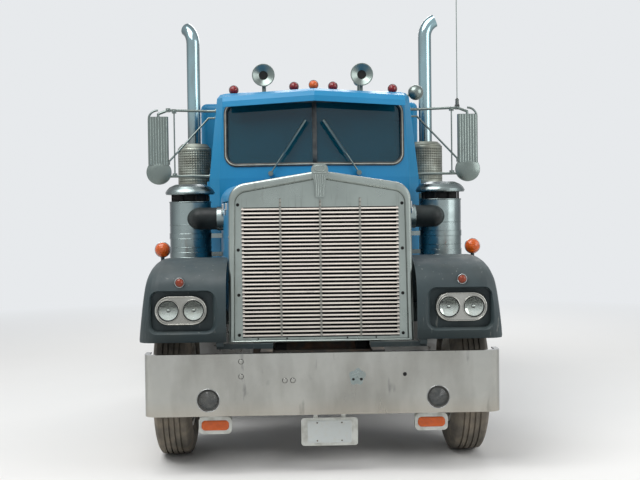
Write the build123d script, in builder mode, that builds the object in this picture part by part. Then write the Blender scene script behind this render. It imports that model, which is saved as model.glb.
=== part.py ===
from build123d import *
from math import cos, hypot, radians, sin
import os

# Long-nosed conventional truck tractor with a flat-topped sleeper and two drive axles.
# The truck faces -Y, its left side is +X, and the origin is on the ground under the middle of its box.
# Distances called "d" are measured rearwards from the foremost point, the front bumper's bolt heads.

os.makedirs("parts", exist_ok=True)

# Layout along the truck
bumper_to_axle = 760
wheelbase = 5600
tandem_spread = 1320
tandem_to_tail = 1250
overall_length = bumper_to_axle + wheelbase + tandem_to_tail
front_axle_d = bumper_to_axle
tandem_d = bumper_to_axle + wheelbase
drive_axle_ds = (tandem_d - tandem_spread / 2, tandem_d + tandem_spread / 2)

# Clearances
seat_gap = 0.3
panel_gap = 10
lid_gap = 8
lid_hinge_gap = 12
lug_gap = 3
column_gap = 0.8
knuckle_gap = 0.8

# Tyres and wheels
tyre_radius = 535
tyre_width = 275
bead_radius = 311
rim_width = 226
rim_flange = 330
rim_wall = 12
front_wheel_x = 1070
front_disc_offset = 120
dual_centre_x = 920
dual_half_spacing = 168
disc_wall = 14
hub_radius = 115
hand_hole_radius = 26
hand_hole_circle = 215

# Frame
rail_outer_x = 430
rail_flange = 85
rail_wall = 8
rail_top = 1000
rail_bottom = 740
horn_top = 838
horn_bottom = 620
rail_front_d = 60
rail_rise_start = 600
rail_rise_end = 700
rail_end_d = 7560
centre_bearing_d = 4250
deck_front_d = 4420
deck_back_d = 5250
flap_d = overall_length - 8

# Front bumper
bumper_half_width = 1226
bumper_low = 405
bumper_height = 425
bumper_end_radius = 85
bumper_depth = 190
bumper_wall = 8
bumper_flange = 36
bumper_face_d = 5
bumper_bolts = ((-562, 778), (-562, 676), (-264, 644), (-209, 644))
bolt_head_radius = 15
fog_x = 789
fog_z = 515
fog_radius = 77
turn_lamp_x = 746
turn_lamp_z = 335
turn_lamp_width = 226
turn_lamp_height = 118
turn_lamp_depth = 70
turn_lamp_d = 50
turn_lens_width = 188
turn_lens_height = 68
turn_lens_round = 27
turn_bracket_half = 40
plate_x = 40
plate_d = 40
plate_width = 390
plate_low = 184
plate_high = 377
plate_bracket_width = 30
bracket_wall = 6

# Radiator shell and grille
shell_face_d = 280
shell_depth = 130
shell_low = 872
shell_half_low = 660
shell_half_high = 645
shell_corner_z = 1986
shell_peak_z = 2088
shell_corner_radius = 130
shell_wall = 8
rim_band = 46
rim_top_share = 1.3
rim_low_share = 0.4
rim_roll = 24
rim_proud = 25
opening_half = 558
opening_low = 905
opening_high = 1830
slat_count = 33
slat_height = 14
slat_depth = 16
rod_spacing = 283
rod_radius = 7

# Hood
hood_rear_d = 1390
hood_rear_half = 757
hood_rear_corner_z = 1996
hood_rear_peak_z = 2094
hood_rear_radius = 130
hood_wall = 8
hood_split_z = 1870
hood_side_low = 1060
ridge_half = 20
cowl_back_d = 1700
cowl_side_x = 700
lid_axis_x = ridge_half + lid_hinge_gap / 2
lid_axis_z = 2091
lid_pin_radius = 5
lid_knuckle = 30
lid_hinge_ds = (500, 880, 1260)

# Fenders
fender_half_width = 1240
fender_inner_x = 668
fender_low = 892
fender_wall = 8
fender_crown_z = 1462
fender_side_round = 105
fender_flare = 0.12
fender_flare_z = 1300
arch_radius = 625
lamp_recess_low = 970
lamp_recess_high = 1245
lamp_recess_inner = 762
lamp_recess_outer = 1192
lamp_recess_d = 238
lamp_recess_round = 46
lamp_collar_wall = 30

# Headlamps and signal lamps
headlamp_x = 985
headlamp_z = 1115
bezel_width = 364
bezel_height = 204
bezel_front_d = 192
lamp_spacing = 176
lamp_radius = 70
marker_x = 990
marker_z = 1311
marker_d = 175
marker_radius = 36
ball_x = 1185
ball_d = 900
ball_z = 1519
ball_radius = 57

# Cab
cab_front_d = 1520
cab_corner_d = 1700
cab_side_d = 1800
cab_back_d = 3040
cab_corner_half = 795
cab_half = 885
cab_low = 1180
belt_z = 2080
eave_z = 2760
lean_in = 35
side_lean_in = 70
lean_back = 60
roof_z = 2812
roof_edge_rise = 34
roof_edge_inset = 28
roof_inset = 140
ceiling_inset = 150
cab_wall = 45
floor_wall = 60
screen_half = 738
screen_low = 2190
screen_high = 2710
screen_bar = 34
glass_inset = 14
glass_thickness = 6
screen_corner = 90
vee_slope = (cab_corner_d - cab_front_d) / cab_corner_half
cab_side_run = cab_side_d - cab_corner_d
cab_mount_ds = (1720, 2800)
door_front_d = 1862
door_back_d = 2860
door_low = 1245
door_high = 2695
hinge_x = cab_half + 12
hinge_d = door_front_d - panel_gap
door_glass_low = 2120
door_glass_high = 2635
hinge_zs = (1400, 2000)
hinge_length = 120
hinge_third = 40
hinge_radius = 11

# Roof fittings
visor_front_d = 1432
visor_low_z = 2697
visor_half = 757
visor_drop = 30
roof_lamp_ds = (1690, 1730, 1800)
roof_lamp_z = 2852
roof_lamp_side_z = 2843
roof_lamp_end_z = 2826
roof_lamp_radius = 41
horn_x = 423
horn_z = 2970
horn_bell = 97
horn_front_d = 1950
corner_lamp_x = 886
corner_lamp_z = 2811
corner_lamp_radius = 66
corner_lamp_d = 1960

# Wipers and mirrors
wiper_base_x = 365
wiper_base_z = 2114
wiper_tip_x = 75
wiper_tip_z = 2550
mirror_x = 1320
mirror_width = 165
mirror_d = 1880
mirror_low = 2200
mirror_high = 2617
spot_z = 2145
spot_radius = 105
antenna_x = 1235
antenna_top = 3900
mirror_tubes = [
    # path of each tube from its foot on the door, then its radius
    ([(0, 1950, 2665), (910, 1950, 2665), (1235, 1905, 2672), (1320, 1905, 2640), (1320, 1905, 2600)], 11),
    ([(0, 1950, 2110), (930, 1950, 2110), (1250, 1905, 2110), (1320, 1905, 2150), (1320, 1905, 2215)], 11),
    ([(0, 2010, 2610), (900, 2010, 2610), (1245, 1905, 2225)], 8),
]

# Cab interior
seat_x = 420
seat_d = 2300
seat_half = 230
seat_base_height = 300
cushion_height = 140
cushion_length = 500
backrest_depth = 130
backrest_height = 680
bunk_top = 1560
dash_half = 780
steering_wheel_d = 2150
steering_wheel_z = 1990
steering_wheel_radius = 225
column_tilt = 38

# Radiator core
core_half = 500
core_d = 430
core_low = 860
core_high = 1890

# Sleeper
sleeper_front_d = 3360
sleeper_length = 960
sleeper_half = 1075
sleeper_low = 1140
sleeper_top = 2872
sleeper_wall = 45
neck_half = 620
neck_low = 1440
neck_high = 2460
neck_lip = 60
neck_round = 70
boot_wall = 30
sleeper_round = 70

# Engine and gearbox
engine_half = 300
engine_front_d = 600
engine_back_d = 1480
engine_low = 745
engine_top = 1700
engine_foot_ds = (760, 1260)
gearbox_half = 190
gearbox_back_d = 2300
gearbox_top = 1140
gearbox_nose_half = 120
gearbox_nose_length = 50

# Breathing and exhaust
cleaner_x = 1020
cleaner_d = 1470
cleaner_radius = 167
cleaner_low = 1395
cleaner_top = 1888
cap_radius = 198
cap_low = 1945
cap_height = 85
neck_radius = 132
cleaner_strap_zs = (1460, 1610)
elbow_z = 1750
elbow_d = 1285
elbow_x = 925
elbow_radius = 88
muffler_x = 1125
muffler_d = 3195
muffler_radius = 150
muffler_low = 1290
muffler_top = 2460
stack_radius = 63
stack_top_left = 3700
stack_top_right = 3640
stack_bend = 170
stack_turn = 65
stack_heading_left = 0
stack_heading_right = 50
cross_pipe_z = 1090
forward_pipe_x = -260
mast_x = 820
mast_d = 3275
mast_top = 2300
muffler_strap_zs = (1480, 2200)

# Fifth wheel
coupling_d = 6200
coupling_top = 1230
coupling_pivot_z = 1120
block_x = 355
jaw_radius = 26

# Tanks and boxes
tank_radius = 310
tank_x = 905
tank_z = 700
tank_front_d = 2640
tank_length = 1500
box_front_d = 1800
box_length = 720
box_inner_x = 560
box_outer_x = 1200
box_low = 520
box_high = 1080
box_step_height = 200
box_arm_ds = (box_front_d + 120, box_front_d + box_length - 190)
strap_width = 80
strap_wall = 4
tank_strap_ds = (tank_front_d + 220, tank_front_d + tank_length - 300)
tank_steps = ((1085, 480), (1085, 900))

# Drive axles and springs
dual_inner_x = dual_centre_x - dual_half_spacing - tyre_width / 2
axle_end_radius = 50
axle_end_x = 1010
beam_x = 510
beam_seat_z = 440
axle_tube_radius = 68
axle_bowl_radius = 215
shaft_radius = 55
yoke_radius = 60
yoke_length = 50
spring_x = 388
spring_width = 80
spring_outline = [
    # d, z of the lower side, then back along the upper side
    (210, 560),
    (480, 505),
    (front_axle_d, 490.3),
    (1040, 505),
    (1330, 575),
    (1330, 625),
    (1040, 570),
    (front_axle_d, 560),
    (480, 565),
    (210, 612),
]

# Steering
kingpin_x = 880
kingpin_radius = 20
axle_eye_low = 478
axle_eye_high = 592
knuckle_low = 418
knuckle_high = 652
knuckle_plate = 105
pin_gap = 1
spindle_end_x = 1150
spindle_radius = 38
hub_gap = 0.9
hub_back_x = 1000
steering_arm = 200
ball_pin_radius = 12
tie_rod_z = 393


def at(d):
    """Y of a place d behind the foremost point."""
    return d - overall_length / 2


def across(d):
    """Upright plane across the truck; a negative extrusion runs rearwards."""
    return Plane.XZ.offset(-at(d))


def finish(builder, label):
    builder.part.label = label
    export_step(builder.part, f"parts/{label}.step")


def box_between(low, high):
    """Box between two corners given as (x, d, z)."""
    size = [high[i] - low[i] for i in range(3)]
    centre = [(high[i] + low[i]) / 2 for i in range(3)]
    with Locations((centre[0], at(centre[1]), centre[2])):
        Box(*size)


def cut_between(low, high):
    size = [high[i] - low[i] for i in range(3)]
    centre = [(high[i] + low[i]) / 2 for i in range(3)]
    with Locations((centre[0], at(centre[1]), centre[2])):
        Box(*size, mode=Mode.SUBTRACT)


def side_face(points):
    """Closed outline in a side plane from (d, z) points."""
    Polygon(*[(at(d), z) for d, z in points], align=None)


def inset(points, amount):
    """Convex outline, listed counter-clockwise, with every side moved inwards."""
    moved = []
    count = len(points)
    for i in range(count):
        ax, ay = points[i - 1]
        bx, by = points[i]
        cx, cy = points[(i + 1) % count]
        first = hypot(bx - ax, by - ay)
        second = hypot(cx - bx, cy - by)
        ux, uy = (bx - ax) / first, (by - ay) / first
        vx, vy = (cx - bx) / second, (cy - by) / second
        turn = ux * vy - uy * vx
        px, py = bx - uy * amount, by + ux * amount
        qx, qy = bx - vy * amount, by + vx * amount
        along = ((qx - px) * vy - (qy - py) * vx) / turn
        moved.append((px + ux * along, py + uy * along))
    return moved


def between(start, end, share):
    return start + (end - start) * share


# Frame: rails, crossmembers and the deck plate behind the sleeper
rail_line = [
    (rail_front_d, horn_bottom),
    (rail_rise_start, horn_bottom),
    (rail_rise_end, rail_bottom),
    (rail_end_d, rail_bottom),
    (rail_end_d, rail_top),
    (rail_rise_end, rail_top),
    (rail_rise_start, horn_top),
    (rail_front_d, horn_top),
]
rail_hollow = [
    (rail_front_d - 5, horn_bottom + rail_wall),
    (rail_rise_start - 5, horn_bottom + rail_wall),
    (rail_rise_end - 5, rail_bottom + rail_wall),
    (rail_end_d + 5, rail_bottom + rail_wall),
    (rail_end_d + 5, rail_top - rail_wall),
    (rail_rise_end + 5, rail_top - rail_wall),
    (rail_rise_start + 5, horn_top - rail_wall),
    (rail_front_d - 5, horn_top - rail_wall),
]
shaft_hole_d = 2900
shaft_hole_z = 886
shaft_hole_radius = 82
members = [
    # d, length, low, high
    (300, 110, horn_bottom + 30, horn_top - 30),
    (1960, 70, rail_bottom + 20, rail_bottom + 90),
    (shaft_hole_d, 70, rail_bottom + 20, rail_top - 20),
    (centre_bearing_d, 70, rail_bottom + 20, rail_top - 20),
    (5050, 70, rail_bottom + 20, rail_top - 20),
    (tandem_d - 130, 260, rail_bottom + 20, rail_top - 20),
    (rail_end_d - 70, 70, rail_bottom + 20, rail_top - 20),
]
rail_inner_x = rail_outer_x - rail_wall
with BuildPart() as frame:
    with BuildSketch(Plane.YZ.offset(rail_outer_x)):
        side_face(rail_line)
    extrude(amount=-rail_flange)
    with BuildSketch(Plane.YZ.offset(rail_inner_x)):
        side_face(rail_hollow)
    extrude(amount=-rail_flange, mode=Mode.SUBTRACT)
    mirror(about=Plane.YZ)
    for d, length, low, high in members:
        box_between((-rail_inner_x - 1, d, low), (rail_inner_x + 1, d + length, high))
    with BuildSketch(across(shaft_hole_d - 5)):
        with Locations((0, shaft_hole_z)):
            Circle(shaft_hole_radius)
    extrude(amount=-80, mode=Mode.SUBTRACT)
    box_between((-rail_outer_x, deck_front_d, rail_top - 1), (rail_outer_x, deck_back_d, rail_top + 7))
    # Arms that carry the step boxes and the fuel tanks
    for d in box_arm_ds:
        for side in (-1, 1):
            near, far = sorted((side * (rail_outer_x - 2), side * (box_inner_x + 10)))
            box_between((near, d, box_low + 250), (far, d + 70, box_low + 330))
    arm_low = tank_z - tank_radius - 30
    for d in tank_strap_ds:
        for side in (-1, 1):
            near, far = sorted((side * (rail_outer_x - 2), side * (tank_x + 120)))
            box_between((near, d, arm_low), (far, d + strap_width, arm_low + 120))
            near, far = sorted((side * (rail_outer_x - 2), side * (tank_x - tank_radius + 120)))
            box_between((near, d, arm_low), (far, d + strap_width, rail_top - 60))
    for side in (-1, 1):
        with BuildSketch(across(tank_front_d - 5)):
            with Locations((side * tank_x, tank_z)):
                Circle(tank_radius + strap_wall + seat_gap)
        extrude(amount=-(tank_length + 10), mode=Mode.SUBTRACT)
finish(frame, "frame")


# Front bumper
def bumper_plan(margin, back_d):
    half = bumper_half_width - margin
    front_d = bumper_face_d + margin
    with Locations((0, at((front_d + back_d) / 2))):
        Rectangle(2 * half, back_d - front_d)
    fillet(vertices().group_by(Axis.Y)[0], bumper_end_radius - margin)


with BuildPart() as front_bumper:
    with BuildSketch(Plane.XY.offset(bumper_low)):
        bumper_plan(0, bumper_depth)
    extrude(amount=bumper_height)
    with BuildSketch(Plane.XY.offset(bumper_low + bumper_wall)):
        bumper_plan(bumper_wall, bumper_depth + 10)
    extrude(amount=bumper_height - 2 * bumper_wall, mode=Mode.SUBTRACT)
    with BuildSketch(Plane.XY.offset(bumper_low - 1)):
        bumper_plan(bumper_flange, bumper_depth + 10)
    extrude(amount=bumper_height + 2, mode=Mode.SUBTRACT)
    with BuildSketch(across(-5)):
        with Locations((-fog_x, fog_z), (fog_x, fog_z)):
            Circle(fog_radius)
    extrude(amount=-40, mode=Mode.SUBTRACT)
    for side in (-1, 1):
        near, far = sorted((side * (rail_outer_x - rail_flange), side * (rail_outer_x + 60)))
        plate_front_d = bumper_face_d + bumper_wall - 1
        box_between((near, plate_front_d, horn_bottom + 20), (far, rail_front_d - seat_gap, horn_top - 30))
    with BuildSketch(across(0)):
        with Locations(*bumper_bolts):
            Circle(bolt_head_radius)
    extrude(amount=-(bumper_face_d + 1))
    fillet(front_bumper.edges().group_by(Axis.Y)[0], 3)
finish(front_bumper, "front_bumper")

# Number plate holder and the turn lamp holders, hung from the bumper's lower edge
hanger_top = bumper_low - seat_gap
hanger_foot_d = bumper_wall + 4
with BuildPart() as bumper_hangers:
    with BuildSketch(across(plate_d)):
        with Locations((plate_x, (plate_low + plate_high) / 2)):
            RectangleRounded(plate_width, plate_high - plate_low, 22)
    extrude(amount=-bracket_wall)
    for x in (plate_x - 110, plate_x + 80):
        back_d = plate_d + 2 * bracket_wall - 1
        far = x + plate_bracket_width
        box_between((x, plate_d + bracket_wall - 1, plate_high - 130), (far, back_d, hanger_top))
        box_between((x, hanger_foot_d, hanger_top - bracket_wall), (far, back_d, hanger_top))
    for x in (-turn_lamp_x, turn_lamp_x):
        with BuildSketch(across(turn_lamp_d)):
            with Locations((x, turn_lamp_z)):
                RectangleRounded(turn_lamp_width, turn_lamp_height, 30)
        extrude(amount=-turn_lamp_depth)
        with BuildSketch(across(turn_lamp_d)):
            with Locations((x, turn_lamp_z)):
                RectangleRounded(
                    turn_lens_width + 2 * seat_gap,
                    turn_lens_height + 2 * seat_gap,
                    turn_lens_round,
                )
        extrude(amount=-18, mode=Mode.SUBTRACT)
        near, far = x - turn_bracket_half, x + turn_bracket_half
        back_d = turn_lamp_d + 26
        box_between((near, turn_lamp_d + 10, turn_lamp_z + 45), (far, back_d, hanger_top))
        box_between((near, hanger_foot_d, hanger_top - bracket_wall), (far, back_d, hanger_top))
finish(bumper_hangers, "bumper_hangers")


# Radiator shell
def shell_outline(half_low, half_high, low, corner_z, peak_z, radius):
    Polygon(
        (-half_low, low),
        (half_low, low),
        (half_high, corner_z),
        (0, peak_z),
        (-half_high, corner_z),
        align=None,
    )
    fillet(vertices().group_by(Axis.Y)[-2], radius)


def shell_front(margin):
    shell_outline(
        shell_half_low - margin,
        shell_half_high - margin,
        shell_low + rim_low_share * margin,
        shell_corner_z - rim_top_share * margin,
        shell_peak_z - rim_top_share * margin,
        shell_corner_radius - margin,
    )


shell_back_d = shell_face_d + shell_depth
shell_panel_back_d = shell_face_d + rim_proud + shell_wall
rim_steps = ((0, 18), (3, 9), (10, 3), (rim_roll, 0))
ornament_outline = [
    (-32, 1896),
    (32, 1896),
    (36, 1985),
    (60, 2085),
    (60, 2136),
    (-60, 2136),
    (-60, 2085),
    (-36, 1985),
]
ornament_proud = 18
with BuildPart() as rim_hollow:
    for depth, margin in rim_steps:
        with BuildSketch(across(shell_face_d + depth)):
            shell_front(rim_band - margin)
    loft(ruled=True)
with BuildPart() as radiator_shell:
    for depth, margin in (*rim_steps, (shell_depth, 0)):
        with BuildSketch(across(shell_face_d + depth)):
            shell_front(margin)
    loft(ruled=True)
    add(rim_hollow.part, mode=Mode.SUBTRACT)
    with BuildSketch(across(shell_face_d + rim_roll - 1)):
        shell_front(rim_band)
    extrude(amount=-(rim_proud - rim_roll + 1), mode=Mode.SUBTRACT)
    with BuildSketch(across(shell_panel_back_d)):
        shell_front(shell_wall)
    extrude(amount=-shell_depth, mode=Mode.SUBTRACT)
    with BuildSketch(across(shell_face_d - 5)):
        with Locations((0, (opening_low + opening_high) / 2)):
            Rectangle(2 * opening_half, opening_high - opening_low)
    extrude(amount=-shell_depth, mode=Mode.SUBTRACT)
    with BuildSketch(across(shell_face_d - ornament_proud)):
        Polygon(*ornament_outline, align=None)
        fillet(vertices().group_by(Axis.Y)[-1], 46)
    extrude(amount=-60)
    # The ornament stands on the face and over the ridge, and is cut back to the shell's hollow
    with BuildSketch(across(shell_panel_back_d)):
        shell_front(shell_wall)
    extrude(amount=-shell_depth, mode=Mode.SUBTRACT)
    for side in (-1, 1):
        near, far = sorted((side * (rail_outer_x - rail_flange), side * rail_outer_x))
        box_between((near, shell_face_d + 40, horn_top + seat_gap), (far, shell_back_d, shell_low + 4))
finish(radiator_shell, "radiator_shell")

# Grille slats, their end rails and the three rods in front of them
slat_pitch = (opening_high - opening_low) / slat_count
rod_d = shell_face_d + rim_proud - seat_gap - rod_radius
slat_front_d = rod_d + rod_radius - 3
with BuildPart() as grille_bars:
    with BuildSketch(across(slat_front_d)):
        with Locations((0, (opening_low + opening_high) / 2)):
            with GridLocations(1, slat_pitch, 1, slat_count):
                Rectangle(2 * (opening_half - seat_gap), slat_height)
    extrude(amount=-slat_depth)
    for side in (-1, 1):
        near, far = sorted((side * (opening_half - 14), side * (opening_half - seat_gap)))
        box_between(
            (near, slat_front_d + slat_depth - 2, opening_low + seat_gap),
            (far, slat_front_d + slat_depth + 10, opening_high - seat_gap),
        )
    for x, rise in ((-rod_spacing, 62), (0, 50), (rod_spacing, 62)):
        with BuildSketch(Plane.XY.offset(opening_low + seat_gap)):
            with Locations((x, at(rod_d))):
                Circle(rod_radius)
        extrude(amount=opening_high + rise - opening_low - seat_gap)
finish(grille_bars, "grille_bars")


# Hood skin between the radiator shell and the cowl
def hood_section(d, margin, low):
    share = (d - shell_back_d) / (hood_rear_d - shell_back_d)
    half = between(shell_half_high + 10, hood_rear_half, share) - margin
    shell_outline(
        half,
        half,
        low,
        between(shell_corner_z, hood_rear_corner_z, share) - margin,
        between(shell_peak_z, hood_rear_peak_z, share) - margin,
        between(shell_corner_radius, hood_rear_radius, share) - margin,
    )


hood_front_d = shell_back_d + seat_gap
with BuildPart() as hood_outer:
    for d in (hood_front_d, cowl_back_d):
        with BuildSketch(across(d)):
            hood_section(d, 0, hood_side_low)
    loft(ruled=True)
with BuildPart() as hood_wide:
    for d in (hood_front_d - 300, cowl_back_d):
        with BuildSketch(across(d)):
            hood_section(d, -seat_gap, hood_side_low - 5)
    loft(ruled=True)
with BuildPart() as hood_inner:
    for d in (hood_front_d - 1, cowl_back_d + 1):
        with BuildSketch(across(d)):
            hood_section(d, hood_wall, hood_side_low - 20)
    loft(ruled=True)
with BuildPart() as hood_skin:
    add(hood_outer.part)
    add(hood_inner.part, mode=Mode.SUBTRACT)


# Cab
def cab_plan(z, margin):
    """Outline of the cab at a height, with a vee front, moved inwards by the margin."""
    lean = max(0, (z - belt_z) / (eave_z - belt_z))
    front = cab_front_d + lean_back * lean
    corner_half = cab_corner_half - lean_in * lean
    corner = front + vee_slope * corner_half
    side = corner + cab_side_run
    half = cab_half - side_lean_in * lean
    outline = [
        (-half, at(cab_back_d)),
        (-half, at(side)),
        (-corner_half, at(corner)),
        (0, at(front)),
        (corner_half, at(corner)),
        (half, at(side)),
        (half, at(cab_back_d)),
    ]
    return inset(outline, margin)


def cab_layer(levels):
    sections = []
    for z, margin in levels:
        with BuildSketch(Plane.XY.offset(z)) as level:
            Polygon(*cab_plan(min(z, eave_z), margin), align=None)
        sections.append(level.sketch)
    loft(sections, ruled=True)


with BuildPart() as cab_outer:
    cab_layer([
        (cab_low, 0),
        (belt_z, 0),
        (eave_z, 0),
        (eave_z + roof_edge_rise, roof_edge_inset),
        (roof_z, roof_inset),
    ])
with BuildPart() as cab_inner:
    cab_layer([
        (cab_low + floor_wall, cab_wall),
        (belt_z, cab_wall),
        (eave_z - 12, cab_wall),
        (roof_z - cab_wall, ceiling_inset),
    ])
with BuildPart() as cab_walls:
    add(cab_outer.part)
    add(cab_inner.part, mode=Mode.SUBTRACT)
with BuildPart() as glass_layer:
    cab_layer([(belt_z - 60, glass_inset), (belt_z, glass_inset), (eave_z - 12, glass_inset)])
glass_back = glass_inset + glass_thickness
with BuildPart() as glass_core:
    cab_layer([(belt_z - 61, glass_back), (belt_z, glass_back), (eave_z - 11, glass_back)])
with BuildPart() as glass_sheet:
    add(glass_layer.part)
    add(glass_core.part, mode=Mode.SUBTRACT)


def screen_outline(margin):
    """Two panes of the windshield seen from the front."""
    width = screen_half - screen_bar / 2 - 2 * margin
    with Locations(
        (-(screen_half + screen_bar / 2) / 2, (screen_low + screen_high) / 2),
        ((screen_half + screen_bar / 2) / 2, (screen_low + screen_high) / 2),
    ):
        Rectangle(width, screen_high - screen_low - 2 * margin)
    outer = vertices().sort_by(Axis.X)
    fillet([*outer[:2], *outer[-2:]], screen_corner - margin)


door_outline = [
    (door_front_d, door_low),
    (door_back_d, door_low),
    (door_back_d, door_high),
    (door_front_d + 58, door_high),
    (door_front_d, belt_z - 20),
]
door_panes = [
    # outline of each pane in the side plane
    [(1905, door_glass_low), (2095, door_glass_low), (2095, door_glass_high), (1950, door_glass_high)],
    [(2135, door_glass_low), (2800, door_glass_low), (2800, door_glass_high), (2135, door_glass_high)],
]
with BuildPart() as cab_shell:
    add(cab_walls.part)
    with BuildSketch(across(cab_front_d - 50)):
        screen_outline(0)
    extrude(amount=-450, mode=Mode.SUBTRACT)
    with BuildSketch(Plane.YZ.offset(-cab_half - 50)):
        side_face(door_outline)
    extrude(amount=2 * cab_half + 100, mode=Mode.SUBTRACT)
    cut_between(
        (-neck_half + neck_lip, cab_back_d - 200, neck_low + neck_lip),
        (neck_half - neck_lip, cab_back_d + 10, neck_high - neck_lip),
    )
    # Hinge knuckles on the door posts
    for side in (-1, 1):
        for z in hinge_zs:
            for start in (-hinge_length / 2, hinge_length / 2 - hinge_third):
                with Locations((side * hinge_x, at(hinge_d), z + start + hinge_third / 2)):
                    Cylinder(hinge_radius, hinge_third)
                near, far = sorted((side * (cab_half - 8), side * (hinge_x + 2)))
                box_between((near, hinge_d - 40, z + start), (far, hinge_d, z + start + hinge_third))
    # Feet that carry the cab on the rails
    for d in cab_mount_ds:
        for side in (-1, 1):
            near, far = sorted((side * (rail_outer_x - rail_flange), side * rail_outer_x))
            box_between((near, d, rail_top + seat_gap), (far, d + 90, cab_low + 1))
finish(cab_shell, "cab_shell")

with BuildPart() as windshield_glass:
    with BuildSketch(across(cab_front_d - 50)):
        screen_outline(seat_gap)
    extrude(amount=-450)
    add(glass_sheet.part, mode=Mode.INTERSECT)
finish(windshield_glass, "windshield_glass")

# Doors, each as thick as the cab wall
door_gap_outline = inset([(at(d), z) for d, z in door_outline], panel_gap)
for side, name in ((1, "left"), (-1, "right")):
    start = Plane.YZ.offset(side * (cab_half - 150))
    with BuildPart() as door:
        with BuildSketch(start):
            Polygon(*door_gap_outline, align=None)
        extrude(amount=side * 200)
        add(cab_walls.part, mode=Mode.INTERSECT)
        for pane in door_panes:
            with BuildSketch(start):
                side_face(pane)
            extrude(amount=side * 200, mode=Mode.SUBTRACT)
        for z in hinge_zs:
            with Locations((side * hinge_x, at(hinge_d), z)):
                Cylinder(hinge_radius, hinge_length - 2 * hinge_third - 2 * knuckle_gap)
            leaf_low = z - hinge_length / 2 + hinge_third + knuckle_gap
            leaf_high = z + hinge_length / 2 - hinge_third - knuckle_gap
            near, far = sorted((side * (cab_half + 5), side * (hinge_x + hinge_radius)))
            box_between((near, hinge_d, leaf_low), (far, hinge_d + 60, leaf_high))
            near, far = sorted((side * (cab_half - 8), side * (hinge_x + hinge_radius)))
            box_between((near, door_front_d + panel_gap + 2, leaf_low), (far, hinge_d + 60, leaf_high))
    finish(door, f"door_{name}")
    with BuildPart() as door_glass:
        for pane in door_panes:
            with BuildSketch(start):
                Polygon(*inset([(at(d), z) for d, z in pane], seat_gap), align=None)
            extrude(amount=side * 200)
        add(glass_sheet.part, mode=Mode.INTERSECT)
    finish(door_glass, f"door_glass_{name}")

# Hood and cowl: ridge, fixed sides and the cowl in front of the cab
with BuildPart() as hood_ledges:
    for side in (-1, 1):
        near, far = sorted((side * 585, side * 745))
        box_between((near, hood_front_d, hood_split_z - 12), (far, hood_rear_d, hood_split_z - 6))
    add(hood_outer.part, mode=Mode.INTERSECT)
with BuildPart() as hood_body:
    add(hood_skin.part)
    cut_between((-1000, hood_front_d - 5, hood_split_z), (-ridge_half, hood_rear_d, 2300))
    cut_between((ridge_half, hood_front_d - 5, hood_split_z), (1000, hood_rear_d, 2300))
    # Ledges folded in under the lids' lower edges
    add(hood_ledges.part)
    add(cab_outer.part, mode=Mode.SUBTRACT)
    for side in (-1, 1):
        stay_front_d, stay_back_d = hood_rear_d + 20, hood_rear_d + 70
        near, far = sorted((side * (rail_outer_x - rail_flange), side * (hood_rear_half - 20)))
        box_between((near, stay_front_d, hood_side_low), (far, stay_back_d, hood_side_low + 40))
        near, far = sorted((side * (rail_outer_x - rail_flange), side * rail_outer_x))
        box_between((near, stay_front_d, rail_top + seat_gap), (far, stay_back_d, hood_side_low + 40))
    # Hinge knuckles beside the ridge
    for side in (-1, 1):
        for d in lid_hinge_ds:
            for start in (d - 1.5 * lid_knuckle, d + 0.5 * lid_knuckle):
                with Locations((side * lid_axis_x, at(start + lid_knuckle / 2), lid_axis_z)):
                    Cylinder(lid_pin_radius, lid_knuckle, rotation=(90, 0, 0))
                near, far = sorted((side * (ridge_half - 16), side * lid_axis_x))
                box_between((near, start, lid_axis_z - 17), (far, start + lid_knuckle, lid_axis_z))
finish(hood_body, "hood_body")

for side, name in ((1, "left"), (-1, "right")):
    with BuildPart() as lid:
        near, far = sorted((side * (ridge_half + lid_hinge_gap), side * 1000))
        box_between(
            (near, hood_front_d + lid_gap, hood_split_z + lid_gap),
            (far, hood_rear_d - lid_gap, hood_rear_peak_z + 100),
        )
        add(hood_skin.part, mode=Mode.INTERSECT)
        half_knuckle = lid_knuckle / 2 - knuckle_gap
        for d in lid_hinge_ds:
            with Locations((side * lid_axis_x, at(d), lid_axis_z)):
                Cylinder(lid_pin_radius, 2 * half_knuckle, rotation=(90, 0, 0))
            near, far = sorted((side * lid_axis_x, side * (lid_axis_x + 22)))
            box_between((near, d - half_knuckle, lid_axis_z - 16), (far, d + half_knuckle, lid_axis_z))
    finish(lid, f"hood_lid_{name}")

# Fenders
fender_crown = [
    # d, z over the wheel, from the tail to the nose
    (1400, 900),
    (1375, 1050),
    (1300, 1210),
    (1180, 1335),
    (1000, 1425),
    (760, fender_crown_z),
    (520, 1452),
    (335, 1412),
    (215, 1335),
    (170, 1240),
    (165, 960),
]
fender_feet = [(185, 880), (195, 700), (1405, 700)]
fender_outline = [(at(d), z) for d, z in (*fender_crown, *fender_feet)]
fender_flat = fender_half_width - fender_side_round


def fender_section(x, shrink, flare):
    """Outline of the fender in an upright plane that leans outwards going down."""
    slant = hypot(1, flare)
    plane = Plane(origin=(x, 0, fender_flare_z), x_dir=(0, 1, 0), z_dir=(1, 0, flare))
    points = [(y, (z - fender_flare_z) * slant) for y, z in inset(fender_outline, shrink)]
    crown, feet = points[: len(fender_crown)], points[len(fender_crown) :]
    with BuildSketch(plane) as section:
        with BuildLine():
            Spline(*crown)
            Polyline(crown[-1], *feet, crown[0])
        make_face()
    return section.sketch


def fender_block(margin, start_x):
    turn = fender_side_round - margin
    sections = [fender_section(start_x, margin, 0), fender_section(fender_flat, margin, fender_flare)]
    for angle in (15, 30, 45, 60, 75, 90):
        x = fender_flat + turn * sin(radians(angle))
        sections.append(fender_section(x, margin + turn * (1 - cos(radians(angle))), fender_flare))
    loft(sections, ruled=True)


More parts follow.
